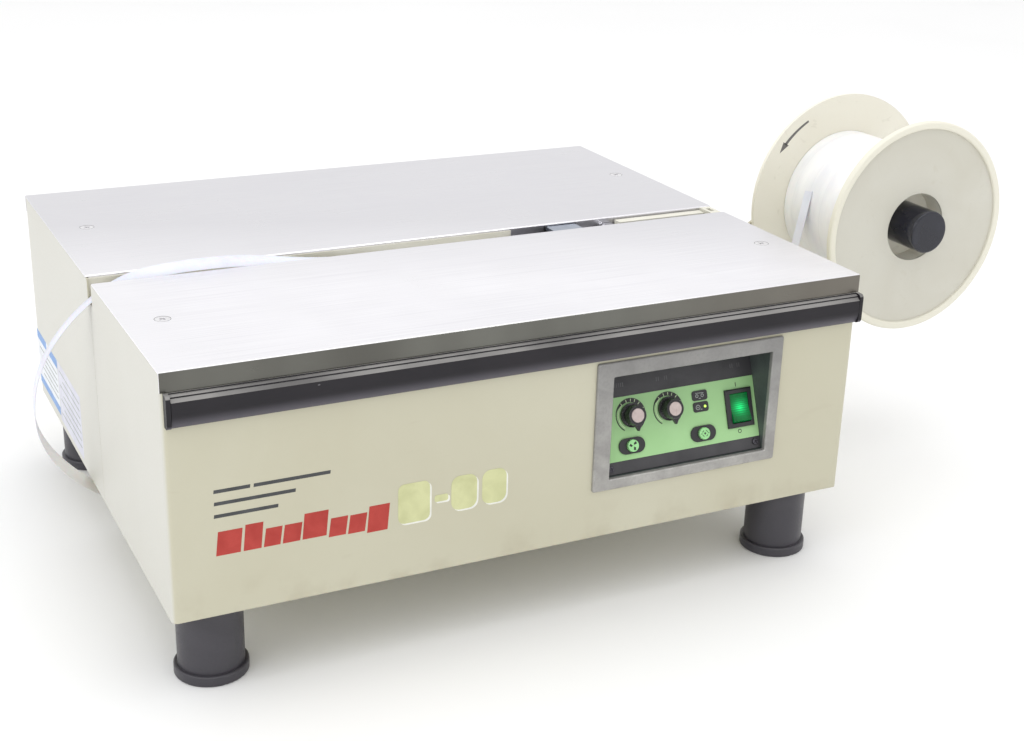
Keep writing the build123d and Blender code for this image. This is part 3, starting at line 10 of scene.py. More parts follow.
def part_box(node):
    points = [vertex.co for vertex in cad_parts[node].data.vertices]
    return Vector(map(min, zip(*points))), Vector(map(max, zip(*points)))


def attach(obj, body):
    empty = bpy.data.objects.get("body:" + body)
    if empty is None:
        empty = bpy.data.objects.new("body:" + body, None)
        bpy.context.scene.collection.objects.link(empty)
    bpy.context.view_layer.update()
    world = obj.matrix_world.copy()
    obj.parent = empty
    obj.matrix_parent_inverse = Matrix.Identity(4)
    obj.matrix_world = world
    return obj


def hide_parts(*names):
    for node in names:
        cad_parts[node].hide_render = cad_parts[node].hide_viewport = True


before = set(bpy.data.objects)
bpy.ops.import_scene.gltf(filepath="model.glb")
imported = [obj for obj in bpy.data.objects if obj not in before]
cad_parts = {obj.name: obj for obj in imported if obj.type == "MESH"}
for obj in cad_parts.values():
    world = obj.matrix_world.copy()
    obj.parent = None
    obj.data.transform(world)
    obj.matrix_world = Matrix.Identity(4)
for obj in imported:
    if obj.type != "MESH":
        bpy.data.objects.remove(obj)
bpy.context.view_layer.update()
MM = 0.001

# ---------------------------------------------------------------------------
# Places. As in the CAD source, lengths are millimetres from the front left
# corner of the table top, or on the slope of the control panel.
# ---------------------------------------------------------------------------
CORNER = Vector((*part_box("front_cover")[0].xy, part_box("front_top_plate")[1].z))
PANEL_TILT = math.radians(20.0)
PANEL_FOOT = (3.0, -167.0)
REEL_AXIS = (901.0, -25.0)   # across and up
FLANGE_FACE = 319.0          # inner face of the rear flange, towards the back
SWITCH = (564.0, 42.7)       # middle of the power rocker, on the panel's slope
UP_SLOPE = Vector((0, math.sin(PANEL_TILT), math.cos(PANEL_TILT)))
OUT_OF_PANEL = Vector((0, -math.cos(PANEL_TILT), math.sin(PANEL_TILT)))


def at(x, y, z):
    """A point from the front left corner of the table top."""
    return CORNER + Vector((x, y, z)) * MM


def on_panel(x, u, h):
    """A point x along the front, u up the control panel and h out of it."""
    return at(x, *PANEL_FOOT) + (UP_SLOPE * u + OUT_OF_PANEL * h) * MM


def on_front(x, z, h):
    """A point on the front cover, h out of it."""
    return at(x, -h, z)


def on_left(y, z, h):
    """A point on the left side, h out of it."""
    return at(-h, y, z)


# ---------------------------------------------------------------------------
# Camera, at the photograph's viewing angle
# ---------------------------------------------------------------------------
CAMERA_PLACE = at(-265.7, -1136.4, 454.7)
CAMERA_AIM = at(449.4, 279.0, -166.1)
CAMERA_ROLL = math.radians(1.637)
CAMERA_LENS = 55.18
SENSOR_WIDTH = 36.0

camera_data = bpy.data.cameras.new("camera")
camera_data.lens = CAMERA_LENS
camera_data.sensor_width = SENSOR_WIDTH
camera_data.dof.use_dof = False
camera = bpy.data.objects.new("camera", camera_data)
bpy.context.collection.objects.link(camera)
facing = (CAMERA_AIM - CAMERA_PLACE).to_track_quat("-Z", "Y").to_matrix().to_4x4()
camera.matrix_world = (
    Matrix.Translation(CAMERA_PLACE) @ facing @ Matrix.Rotation(CAMERA_ROLL, 4, "Z")
)
bpy.context.scene.camera = camera
bpy.context.scene.view_settings.view_transform = "Standard"


# ---------------------------------------------------------------------------
# Finishes
# ---------------------------------------------------------------------------
def tone(red, green, blue):
    """Linear colour of a screen colour from 0 to 255."""
    parts = [value / 255 for value in (red, green, blue)]
    linear = [p / 12.92 if p <= 0.04045 else ((p + 0.055) / 1.055) ** 2.4 for p in parts]
    return (*linear, 1.0)


class Finish:
    """A Principled material, with short calls for the nodes that shade it."""

    def __init__(self, name, **sockets):
        self.material = bpy.data.materials.new(name)
        self.material.use_nodes = True
        self.tree = self.material.node_tree
        self.shader = self.tree.nodes["Principled BSDF"]
        self.where = self.node("TexCoord").outputs["Object"]
        for key, value in sockets.items():
            self.set(key.replace("_", " "), value)

    def join(self, socket, value):
        if isinstance(value, bpy.types.NodeSocket):
            self.tree.links.new(value, socket)
        else:
            socket.default_value = value

    def set(self, name, value):
        self.join(self.shader.inputs[name], value)

    def node(self, kind, inputs=None, **settings):
        made = self.tree.nodes.new("ShaderNode" + kind)
        for key, value in settings.items():
            setattr(made, key, value)
        for key, value in (inputs or {}).items():
            self.join(made.inputs[key], value)
        return made

    def colour(self):
        """The socket that colours the surface so far."""
        return self.shader.inputs["Base Color"].links[0].from_socket

    def placed(self, stretch=(1, 1, 1), turn=(0, 0, 0)):
        mapping = {"Vector": self.where, "Scale": stretch, "Rotation": turn}
        return self.node("Mapping", mapping).outputs[0]

    def noise(self, scale, stretch=(1, 1, 1), detail=3.0, distortion=0.0):
        """Cloudy value with that many features a metre along each axis."""
        inputs = {"Vector": self.placed(stretch), "Scale": scale, "Detail": detail}
        inputs["Distortion"] = distortion
        return self.node("TexNoise", inputs).outputs[0]

    def wave(self, scale, axis, shape="SIN", distortion=0.0, turn=(0, 0, 0)):
        inputs = {"Vector": self.placed(turn=turn), "Scale": scale, "Distortion": distortion}
        settings = {"bands_direction": axis, "wave_profile": shape}
        return self.node("TexWave", inputs, **settings).outputs["Fac"]

    def span(self, value, start, end, low=0.0, high=1.0):
        """Value from start to end, mapped to low to high."""
        inputs = {"Value": value, "From Min": start, "From Max": end}
        inputs.update({"To Min": low, "To Max": high})
        return self.node("MapRange", inputs).outputs[0]

    def math(self, kind, first, second=0.0):
        return self.node("Math", {0: first, 1: second}, operation=kind).outputs[0]

    def mix(self, amount, low, high):
        return self.node("Mix", {0: amount, 6: low, 7: high}, data_type="RGBA").outputs[2]

    def facing(self, axis):
        """How far a face looks along an axis of the object, from -1 to 1."""
        normal = self.node("TexCoord").outputs["Normal"]
        return self.node("SeparateXYZ", {0: normal}).outputs[axis]

    def along(self, axis):
        """Metres along an axis of the object, which are the world's at rest."""
        return self.node("SeparateXYZ", {0: self.where}).outputs[axis]

    def rounded(self, radius):
        return self.node("Bevel", {"Radius": radius}, samples=4).outputs[0]

    def edges(self, radius):
        """Near 1 along the sharp edges and 0 on the faces between them."""
        true = self.node("NewGeometry").outputs["Normal"]
        dot = self.node("VectorMath", {0: self.rounded(radius), 1: true}, operation="DOT_PRODUCT")
        return self.span(dot.outputs["Value"], 0.995, 0.8)

    def relief(self, *layers, corner=0.0):
        """Bump from pairs of height and depth, over edges rounded by corner."""
        normal = self.rounded(corner) if corner else None
        for height, depth in layers:
            inputs = {"Height": height, "Distance": depth}
            if normal:
                inputs["Normal"] = normal
            normal = self.node("Bump", inputs).outputs[0]
        self.set("Normal", normal)


def coated(name, colour, shade, patch=7.0, grain=600.0, depth=2e-5, rough=(0.35, 0.5),
           speck=0.25, wear=None, corner=0.0, stretch=(1, 1, 1), **sockets):
    """Paint or moulded plastic: cloudy colour, fine grain and worn edges."""
    made = Finish(name, **sockets)
    cloud = made.noise(patch, detail=5.0, distortion=0.6)
    fine = made.noise(grain, stretch)
    colours = made.mix(made.span(cloud, 0.35, 0.7), tone(*colour), tone(*shade))
    colours = made.mix(made.span(fine, 0.45, 0.8, 0.0, speck), colours, tone(*shade))
    if wear:
        rubbed = made.math("MULTIPLY", made.edges(1.2 * MM), made.span(made.noise(90.0), 0.42, 0.6))
        colours = made.mix(rubbed, colours, tone(*wear))
    made.set("Base Color", colours)
    made.set("Roughness", made.span(made.math("ADD", cloud, fine), 0.7, 1.3, *rough))
    made.relief((fine, depth), corner=corner)
    return made


def metal(name, colour, shade, rough=(0.25, 0.45), grain=900.0, stretch=(0.02, 1, 1),
          patch=5.0, corner=0.0):
    """Bare or plated metal with a brushed or rolled grain and dull patches."""
    made = Finish(name, Metallic=1.0)
    cloud = made.noise(patch, detail=5.0, distortion=0.5)
    fine = made.noise(grain, stretch, detail=4.0)
    colours = made.mix(made.span(cloud, 0.3, 0.75), tone(*colour), tone(*shade))
    colours = made.mix(made.span(fine, 0.35, 0.75, 0.0, 0.3), colours, tone(*shade))
    made.set("Base Color", colours)
    made.set("Roughness", made.span(made.math("ADD", cloud, fine), 0.7, 1.3, *rough))
    made.relief((fine, 4e-6), corner=corner)
    return made


def cream_paint():
    """Thick cream stove enamel, with yellowed patches, grime by the lower edge and painted light
    that makes the left-facing side whiter.
    """
    made = coated("cream_paint", (200, 197, 176), (194, 190, 167), patch=4.0, grain=420.0,
                  depth=1.6e-5, rough=(0.34, 0.46), speck=0.2, corner=0.8 * MM)
    base = made.colour()
    low = made.span(made.along("Z"), 0.115, 0.078)     # down to the cover's lower edge
    grime = made.math("MULTIPLY", low, made.span(made.noise(26.0, detail=6.0), 0.5, 0.72, 0.0, 0.5))
    base = made.mix(grime, base, tone(172, 164, 140))
    rub = made.noise(34.0, (0.25, 0.25, 2.0), detail=6.0, distortion=1.2)
    base = made.mix(made.span(rub, 0.66, 0.74, 0.0, 0.28), base, tone(188, 182, 160))
    chips = made.math("MULTIPLY", made.edges(0.9 * MM), made.span(made.noise(130.0), 0.58, 0.64))
    base = made.mix(made.math("MULTIPLY", chips, 0.8), base, tone(120, 112, 98))
    # Painted light: faces looking left are mixed towards a whiter cream, as if lit from the left.
    lit_left_side = made.span(made.facing("X"), -0.5, -0.9)
    base = made.mix(made.math("MULTIPLY", lit_left_side, 0.8), base, tone(208, 207, 201))
    made.set("Base Color", base)
    return made


def steel_plate():
    """Satin stainless sheet, brushed along the front; its folded lip at the front is painted darker
    as shade.
    """
    made = Finish("steel_plate", Metallic=1.0)
    cloud = made.noise(2.4, detail=4.0, distortion=0.8)
    brushed = made.noise(1000.0, (0.008, 1, 1), detail=5.0)
    long_marks = made.noise(160.0, (0.015, 1, 1), detail=6.0, distortion=0.3)
    colours = made.mix(made.span(cloud, 0.3, 0.7), tone(250, 249, 252), tone(238, 237, 241))
    colours = made.mix(made.span(brushed, 0.4, 0.75, 0.0, 0.35), colours, tone(210, 208, 215))
    colours = made.mix(made.span(long_marks, 0.6, 0.75, 0.0, 0.3), colours, tone(216, 214, 220))
    # Painted shade: a little darker towards the back and the right, standing in for how the plate
    # reflects.
    back = made.math("MULTIPLY", made.along("Y"), 1.6)
    right = made.math("MULTIPLY", made.along("X"), 0.5)
    painted_shade_gradient = made.math("ADD", back, right)
    colours = made.mix(made.span(painted_shade_gradient, -0.35, 0.0, 0.0, 0.8), colours, tone(214, 213, 217))
    # Painted shade: only the front plate's forward-facing lip is a darker, streaked copy of the
    # steel, lighter to the right; the slot's edge of the rear plate stays bright.
    looks_forward = made.span(made.facing("Y"), -0.5, -0.85)
    at_front = made.span(made.along("Y"), -0.2, -0.24)
    streaks = made.noise(7.0, (1, 0.05, 0.05), detail=3.0)
    shaded_lip = made.mix(made.span(streaks, 0.35, 0.65), tone(118, 118, 112), tone(97, 96, 91))
    shaded_lip = made.mix(made.span(made.along("X"), -0.1, 0.2, 0.0, 0.5), shaded_lip, tone(138, 130, 120))
    shaded_lip_mask = made.math("MULTIPLY", looks_forward, at_front)
    made.set("Base Color", made.mix(shaded_lip_mask, colours, shaded_lip))
    smudge = made.noise(13.0, detail=6.0, distortion=1.5)
    worn = made.math("ADD", made.math("MULTIPLY", smudge, 0.5), made.math("MULTIPLY", brushed, 0.5))
    made.set("Roughness", made.span(worn, 0.35, 0.65, 0.27, 0.4))
    made.relief((brushed, 3e-6), (long_marks, 4e-6), corner=0.5 * MM)
    return made


def black_vinyl():
    """Extruded bumper: dull black, with a painted highlight broken by scuffs on its ridges, a
    painted floor reflection underneath, and nicks.
    """
    made = coated("black_vinyl", (36, 33, 38), (27, 25, 30), patch=9.0, grain=500.0, depth=2.5e-5,
                  rough=(0.36, 0.52), speck=0.3, stretch=(0.15, 1, 1), corner=0.4 * MM,
                  Specular_IOR_Level=0.3)
    base = made.colour()
    # Painted highlight on the upward faces, broken up by scuff noise.
    lit_top = made.span(made.facing("Z"), 0.3, 0.5)
    sheen_and_scuffs = made.span(made.noise(38.0, (0.3, 1, 1)), 0.3, 0.6, 0.45, 1.0)
    base = made.mix(made.math("MULTIPLY", lit_top, sheen_and_scuffs), base, tone(142, 140, 138))
    # Painted reflection of the pale floor: greyer on the downward faces.
    floor_reflection = made.span(made.facing("Z"), -0.1, -0.6, 0.0, 0.8)
    base = made.mix(floor_reflection, base, tone(98, 95, 104))
    nicks = made.span(made.noise(150.0, (0.6, 1, 1), detail=1.0), 0.79, 0.81)
    made.set("Base Color", made.mix(nicks, base, tone(112, 110, 114)))
    return made


def cast_grey():
    """Die-cast bezel: mottled, rubbed grey, with painted shadow of the bumper darkening its top."""
    made = coated("cast_grey", (174, 172, 168), (151, 149, 146), patch=38.0, grain=420.0,
                  depth=5e-5, rough=(0.38, 0.6), speck=0.5, wear=(214, 213, 212), corner=0.6 * MM,
                  Metallic=0.35)
    base = made.colour()
    # Painted shadow of the bumper: darker towards the top.
    bumper_shadow = made.span(made.along("Z"), 0.13, 0.25, 0.0, 0.6)
    made.set("Base Color", made.mix(bumper_shadow, base, tone(118, 118, 118)))
    return made


def reel_ivory(name, colour, shade, lit_rim=None):
    """Moulded flange: ivory with scuffs and, if given, a painted lighter rim."""
    made = coated(name, colour, shade, patch=9.0, grain=500.0, depth=1.5e-5, rough=(0.36, 0.5),
                  speck=0.2, corner=0.7 * MM)
    base = made.colour()
    rub = made.noise(42.0, (1, 0.2, 1), detail=7.0, distortion=2.0)
    base = made.mix(made.span(rub, 0.62, 0.72, 0.0, 0.2), base, tone(192, 187, 168))
    # Painted light: the outer rim is mixed towards a lighter colour.
    if lit_rim:
        axis = at(REEL_AXIS[0], 0.0, REEL_AXIS[1])
        across = made.math("SUBTRACT", made.along("X"), axis.x)
        up = made.math("SUBTRACT", made.along("Z"), axis.z)
        squares = [made.math("MULTIPLY", leg, leg) for leg in (across, up)]
        radius = made.math("SQRT", made.math("ADD", *squares))
        base = made.mix(made.span(radius, 0.1105, 0.1115), base, tone(*lit_rim))
    made.set("Base Color", base)
    return made


def strap_white():
    """Embossed polypropylene strap: fine diamonds, slightly translucent, and painted light that
    makes it whiter low down.
    """
    made = Finish("strap_white", Subsurface_Weight=0.12, Subsurface_Scale=0.004)
    cloud = made.noise(30.0, detail=4.0)
    colours = made.mix(made.span(cloud, 0.35, 0.7), tone(229, 230, 240), tone(218, 219, 230))
    # Painted light: the low parts of the strap, which face down into shade, are mixed towards
    # white.
    low = made.span(made.along("Z"), 0.17, 0.07)
    made.set("Base Color", made.mix(low, colours, tone(253, 254, 253)))
    made.set("Roughness", made.span(cloud, 0.3, 0.7, 0.3, 0.42))
    diamond = [made.wave(150.0, "X", turn=(0, way, way)) for way in (0.7, -0.7)]
    made.relief((made.math("MULTIPLY", *diamond), 4e-5))
    return made


def strap_coil():
    """The wound strap: one band beside the next, each layer a little uneven."""
    made = Finish("strap_wound", Subsurface_Weight=0.1, Subsurface_Scale=0.004)
    bands = made.wave(12.1, "Y", "SAW", distortion=0.5)
    seams = made.span(bands, 0.93, 0.985)
    cloud = made.noise(18.0, (1, 3, 1), detail=4.0)
    colours = made.mix(made.span(cloud, 0.35, 0.7), tone(248, 248, 248), tone(234, 234, 237))
    faint = made.math("MULTIPLY", seams, 0.12)
    made.set("Base Color", made.mix(faint, colours, tone(196, 196, 200)))
    made.set("Roughness", made.span(cloud, 0.3, 0.7, 0.28, 0.42))
    made.relief((seams, -1e-4), (made.noise(900.0), 2e-5))
    return made


def rocker_green():
    """Clear green rocker lit by its lamp, brightest over the middle."""
    made = Finish("rocker_green", Specular_IOR_Level=0.25)
    lamp = tuple(on_panel(*SWITCH, 0.0))
    offset = made.node("VectorMath", {0: made.where, 1: lamp}, operation="DISTANCE")
    glow = made.span(offset.outputs["Value"], 0.015, 0.001)
    ribs = made.wave(170.0, "Z", distortion=0.4)
    cloud = made.noise(220.0)
    lit = made.math("MULTIPLY", made.math("POWER", glow, 2.6), made.span(ribs, 0.0, 1.0, 0.35, 1.1))
    made.set("Base Color", made.mix(made.span(cloud, 0.35, 0.65), tone(0, 96, 44), tone(0, 72, 34)))
    made.set("Roughness", made.span(cloud, 0.3, 0.7, 0.16, 0.3))
    made.set("Emission Color", made.mix(glow, tone(0, 160, 70), tone(30, 255, 140)))
    made.set("Emission Strength", made.span(lit, 0.0, 1.0, 0.14, 1.5))
    made.relief((ribs, 4e-5))
    return made


FINISHES = {
    "cream_paint": cream_paint(),
    "steel_plate": steel_plate(),
    "screw_steel": metal("screw_steel", (244, 243, 245), (226, 225, 227), grain=1400.0,
                         stretch=(1, 1, 1), patch=60.0),
    "black_vinyl": black_vinyl(),
    "leg_black": coated("leg_black", (66, 64, 70), (54, 52, 58), patch=16.0, grain=650.0,
                        depth=3e-5, rough=(0.3, 0.5), wear=(120, 118, 122), corner=0.6 * MM),
    "frame_zinc": metal("frame_zinc", (186, 188, 190), (150, 152, 156), grain=300.0,
                        stretch=(1, 1, 1), patch=40.0),
    "machine_steel": metal("machine_steel", (192, 192, 196), (128, 127, 132), grain=1200.0,
                           patch=45.0, corner=0.3 * MM),
    "black_oxide": metal("black_oxide", (96, 94, 100), (64, 62, 68), rough=(0.35, 0.55),
                         patch=50.0, corner=0.3 * MM),
    "roller_rubber": coated("roller_rubber", (44, 42, 44), (58, 56, 56), patch=50.0, depth=6e-5,
                            rough=(0.6, 0.8)),
    "motor_paint": coated("motor_paint", (86, 96, 104), (72, 82, 90), patch=20.0, grain=500.0,
                          depth=5e-5),
    "core_iron": metal("core_iron", (112, 108, 106), (74, 70, 68), stretch=(1, 1, 0.05)),
    "board_green": coated("board_green", (32, 92, 58), (24, 72, 44), patch=80.0, depth=3e-5,
                          rough=(0.3, 0.45)),
    "black_plastic": coated("black_plastic", (46, 45, 48), (34, 33, 36), patch=30.0, grain=900.0,
                            rough=(0.3, 0.45), corner=0.4 * MM),
    "box_grey": coated("box_grey", (88, 96, 94), (66, 74, 72), patch=22.0, grain=500.0, depth=3e-5,
                       rough=(0.4, 0.6)),
    "cast_grey": cast_grey(),
    "panel_black": coated("panel_black", (66, 65, 68), (54, 53, 56), patch=30.0, grain=900.0,
                          rough=(0.4, 0.55)),
    "overlay_green": coated("overlay_green", (166, 210, 150), (155, 201, 138), patch=18.0,
                            grain=1500.0, depth=8e-6, rough=(0.3, 0.42), speck=0.15),
    "knob_black": coated("knob_black", (36, 35, 38), (27, 26, 29), patch=60.0, grain=1500.0,
                         depth=1.5e-5, rough=(0.16, 0.3), wear=(96, 94, 98), corner=0.4 * MM),
    "knob_cap": coated("knob_cap", (206, 190, 186), (188, 172, 168), patch=150.0, grain=1200.0,
                       speck=0.5),
    "rocker_green": rocker_green(),
    "button_green": coated("button_green", (164, 226, 156), (146, 210, 138), patch=150.0,
                           grain=1400.0, depth=1.5e-5, rough=(0.3, 0.4)),
    "bracket_paint": coated("bracket_paint", (206, 202, 182), (196, 190, 168), patch=9.0,
                            grain=420.0, depth=1.6e-5, corner=0.6 * MM),
    "reel_ivory": reel_ivory("reel_ivory", (240, 237, 224), (233, 229, 214)),
    "strap_white": strap_white(),
}
SLOT_PAINT = coated("slot_paint", (226, 224, 212), (216, 213, 198), patch=14.0, grain=420.0,
                    corner=0.4 * MM)
# Nodes that look unlike the rest of their slot.
NODE_FINISHES = {
    "strap_coil": strap_coil(),
    "slide_plate": metal("slide_steel", (168, 175, 188), (150, 157, 169), grain=1200.0, patch=30.0),
    "strap_trough": SLOT_PAINT,
    "slot_covers": SLOT_PAINT,
    # The front flange is a darker copy of the ivory, as painted shade, with a painted lighter rim.
    "reel_front_flange": reel_ivory("reel_front", (210, 208, 197), (203, 200, 187),
                                    lit_rim=(232, 229, 214)),
    "spindle": coated("spindle_black", (38, 39, 50), (30, 31, 40), patch=40.0, grain=900.0,
                      depth=1e-5, rough=(0.07, 0.12), corner=0.6 * MM),
}

for node_name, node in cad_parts.items():
    for holder in node.material_slots:
        by_slot = FINISHES[holder.material.name.split(".")[0]]
        holder.material = NODE_FINISHES.get(node_name, by_slot).material


# ---------------------------------------------------------------------------
# Shapes
# ---------------------------------------------------------------------------
def rectangle(x, y, width, height, slant=0.0):
    """Outline from its lower left corner, its top shifted by slant."""
    return [(x, y), (x + width, y), (x + width + slant, y + height), (x + slant, y + height)]


def rounded(x, y, width, height, radius):
    """Outline of a rounded rectangle round its middle."""
    steps = 5
    points = []
    for side_x, side_y, start in ((1, -1, -90), (1, 1, 0), (-1, 1, 90), (-1, -1, 180)):
        for step in range(steps + 1):
            turn = math.radians(start + 90 * step / steps)
            points.append((
                x + side_x * (width / 2 - radius) + radius * math.cos(turn),
                y + side_y * (height / 2 - radius) + radius * math.sin(turn),
            ))
    return points


def polar(radius, degrees):
    """A point at that radius and turn round the origin."""
    return radius * math.cos(math.radians(degrees)), radius * math.sin(math.radians(degrees))


def arc_band(x, y, start, end, inner, outer, steps=28):
    """Outline between two radii, each a number or a function of the share of the arc."""
    shares = [step / steps for step in range(steps + 1)]
    points = []
    for radius, order in ((outer, shares), (inner, shares[::-1])):
        for share in order:
            reach = radius(share) if callable(radius) else radius
            across, up = polar(reach, start + (end - start) * share)
            points.append((x + across, y + up))
    return points


def stroke(start, end, width):
    """Outline of a straight line of that width, with square ends."""
    start, end = Vector(start), Vector(end)
    along = (end - start).normalized() * width / 2
    side = Vector((-along.y, along.x))
    start, end = start - along, end + along
    return [tuple(corner) for corner in (start - side, end - side, end + side, start + side)]


def moved(outlines, x, y):
    return [[(x + a, y + b) for a, b in outline] for outline in outlines]


def skin(shape, rings):
    """Faces from each ring of vertices to the next, closed at both ends."""
    for one, two in zip(rings, rings[1:]):
        for index in range(len(one)):
            shape.faces.new((one[index - 1], one[index], two[index], two[index - 1]))
    shape.faces.new(rings[0])
    shape.faces.new(rings[-1])


def add_piece(name, mesh_maker, finish, body):
    """A new piece from a function that fills a bmesh, riding on a body."""
    shape = bmesh.new()
    mesh_maker(shape)
    bmesh.ops.recalc_face_normals(shape, faces=shape.faces)
    mesh = bpy.data.meshes.new(name)
    shape.to_mesh(mesh)
    shape.free()
    mesh.materials.append(finish.material)
    made = bpy.data.objects.new(name, mesh)
    bpy.context.collection.objects.link(made)
    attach(made, body)
    return made


def plates(name, outlines, place, low, high, finish, body="cabinet"):
    """Thin plates with these outlines, from low to high out of a surface."""
    def make(shape):
        for outline in outlines:
            skin(shape, [
                [shape.verts.new(place(a, b, level)) for a, b in outline] for level in (low, high)
            ])

    return add_piece(name, make, finish, body)


def ink(name, colour):
    """Screen-printed ink, a little uneven."""
    shade = tuple(max(0, value - 14) for value in colour)
    return coated(name, colour, shade, patch=60.0, grain=1600.0, depth=6e-6, speck=0.4)


# ---------------------------------------------------------------------------
# Free strap: the route repeats the CAD source's points
# ---------------------------------------------------------------------------
ON_FLOOR = -300.55
STRAP_ROUTE = [
    (438.0, 251.5, -8.0), (395.0, 252.5, -15.0), (341.0, 250.5, -18.0), (286.0, 250.0, -11.0),
    (234.0, 248.5, -6.0), (186.0, 246.5, -1.5), (134.0, 245.0, 4.8), (82.0, 245.0, 4.8),
    (42.0, 247.0, 0.0), (10.0, 250.5, -12.0), (-20.0, 251.0, -36.0), (-43.0, 253.0, -66.0),
    (-56.0, 258.0, -102.0), (-56.0, 268.0, -142.0), (-43.0, 284.0, -178.0), (-22.0, 303.0, -211.0),
    (4.0, 323.0, -241.0), (34.0, 344.0, -268.0), (72.0, 364.0, -288.0), (118.0, 380.0, ON_FLOOR),
    (170.0, 384.0, ON_FLOOR), (222.0, 378.0, ON_FLOOR), (272.0, 364.0, ON_FLOOR),
]
STRAP_WIDTH = 13.0
STRAP_THICKNESS = 0.7
STRAP_EDGE = 0.2             # chamfer of its long edges
# Tips of the band round its own line. Each grows and fades between route points.
TWISTS = (
    (math.radians(40.0), (12.5, 16.0), (20.0, 17.0)),     # in the hanging loop
    (math.radians(-42.0), (4.0, 6.0), (9.5, 8.0)),        # where it leaves the slot
)


def route_points(points):
    """The points of a smooth NURBS curve that has these control points."""
    curve = bpy.data.curves.new("strap_route", "CURVE")
    curve.dimensions = "3D"
    curve.resolution_u = 10
    spline = curve.splines.new("NURBS")
    spline.points.add(len(points) - 1)
    for knot, point in zip(spline.points, points):
        knot.co = (*at(*point), 1.0)
    spline.order_u = 3
    spline.use_endpoint_u = True
    holder = bpy.data.objects.new("strap_route", curve)
    mesh = bpy.data.meshes.new_from_object(holder)
    line = [vertex.co.copy() for vertex in mesh.vertices]
    bpy.data.objects.remove(holder)
    bpy.data.meshes.remove(mesh)
    bpy.data.curves.remove(curve)
    return line


def ease(value, start, end):
    """0 at start to 1 at end, smooth at both."""
    share = min(1.0, max(0.0, (value - start) / (end - start)))
    return share * share * (3 - 2 * share)


def strap_band(line):
    """Flat band along a line: its width keeps near the Y axis, but for the twists."""
    half, thick, edge = STRAP_WIDTH / 2 * MM, STRAP_THICKNESS / 2 * MM, STRAP_EDGE * MM
    profile = [
        (-half, -thick + edge), (-half + edge, -thick), (half - edge, -thick),
        (half, -thick + edge), (half, thick - edge), (half - edge, thick),
        (-half + edge, thick), (-half, thick - edge),
    ]

    def make(shape):
        rings = []
        for index, point in enumerate(line):
            ahead, behind = line[min(index + 1, len(line) - 1)], line[max(index - 1, 0)]
            along = (ahead - behind).normalized()
            across = (Vector((0, 1, 0)) - along * along.y).normalized()
            stretch = index / len(line) * len(STRAP_ROUTE)
            turned = sum(
                twist * ease(stretch, *grows) * ease(stretch, *fades)
                for twist, grows, fades in TWISTS
            )
            across = Matrix.Rotation(turned, 3, along) @ across
            normal = along.cross(across)
            rings.append([shape.verts.new(point + across * a + normal * b) for a, b in profile])
        skin(shape, rings)

    return make


strap_line = route_points(STRAP_ROUTE)
strap = add_piece(
    "free_strap", strap_band(strap_line), FINISHES["strap_white"], "cabinet"
)
for face in strap.data.polygons:
    face.use_smooth = len(face.vertices) == 4
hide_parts("strap_tail")

# ---------------------------------------------------------------------------
# Control panel: dial scales, pictograms and lamp
# ---------------------------------------------------------------------------
PRINT = 0.1                  # thickness of printed ink
FILM = 0.4                   # overlay on the panel
WINDOW_TOP = 1.1             # indicator windows
BUTTON_TOP = FILM + 4.2
DIALS = {"tension": (444.8, 53.6), "timer": (485.6, 53.8)}
WINDOWS = {"upper": (521.5, 61.0), "lower": (521.5, 50.0)}
BUTTONS = {"reset": (441.7, 25.3), "feed": (520.5, 24.5)}
TICKS = (-32, -6, 20, 46, 66, 84, 104, 128)
FULL_TURN = (0.0, 360.0)

dark_ink = ink("dark_ink", (44, 46, 44))
pale_ink = ink("pale_ink", (214, 236, 190))
faint_ink = ink("faint_ink", (92, 92, 94))
grey_ink = ink("grey_ink", (164, 170, 166))


def scale_inner(share):
    """Inner radius of a dial's scale, widest in the middle of its first stretch."""
    return 15.2 - 3.4 * max(0.0, math.sin(math.pi * min(1.0, share / 0.72))) ** 0.6


for name, (x, u) in DIALS.items():
    scale_top = FILM + 0.12
    plates(f"{name}_scale", [arc_band(x, u, -62.0, 238.0, scale_inner, 16.2)], on_panel,
           FILM, scale_top, dark_ink)
    ticks = [arc_band(x, u, turn - 1.3, turn + 1.3, 12.6, 15.4, 2) for turn in TICKS]
    ticks.append(arc_band(x, u, 126.0, 236.0, 12.9, 13.7))
    plates(f"{name}_ticks", ticks, on_panel, scale_top, FILM + 0.2, pale_ink)

# Abstract pictograms: a band round two rollers above, a roller on a line below.
window_icons = {
    "upper": [
        *(arc_band(side, -0.3, *FULL_TURN, 1.1, 1.7, 14) for side in (-3.2, 2.8)),
        stroke((-4.4, 2.5), (4.2, 2.1), 0.5),
        stroke((-1.2, -2.8), (0.6, -2.8), 0.6),
    ],
    "lower": [
        arc_band(-3.4, -0.2, *FULL_TURN, 1.9, 2.5, 16),
        arc_band(-3.4, -0.2, *FULL_TURN, 0.0, 0.7, 8),
        stroke((-0.4, -2.4), (0.9, -2.4), 0.6),
    ],
}
for name, outlines in window_icons.items():
    plates(f"{name}_window_icon", moved(outlines, *WINDOWS[name]), on_panel,
           WINDOW_TOP, WINDOW_TOP + PRINT, grey_ink)

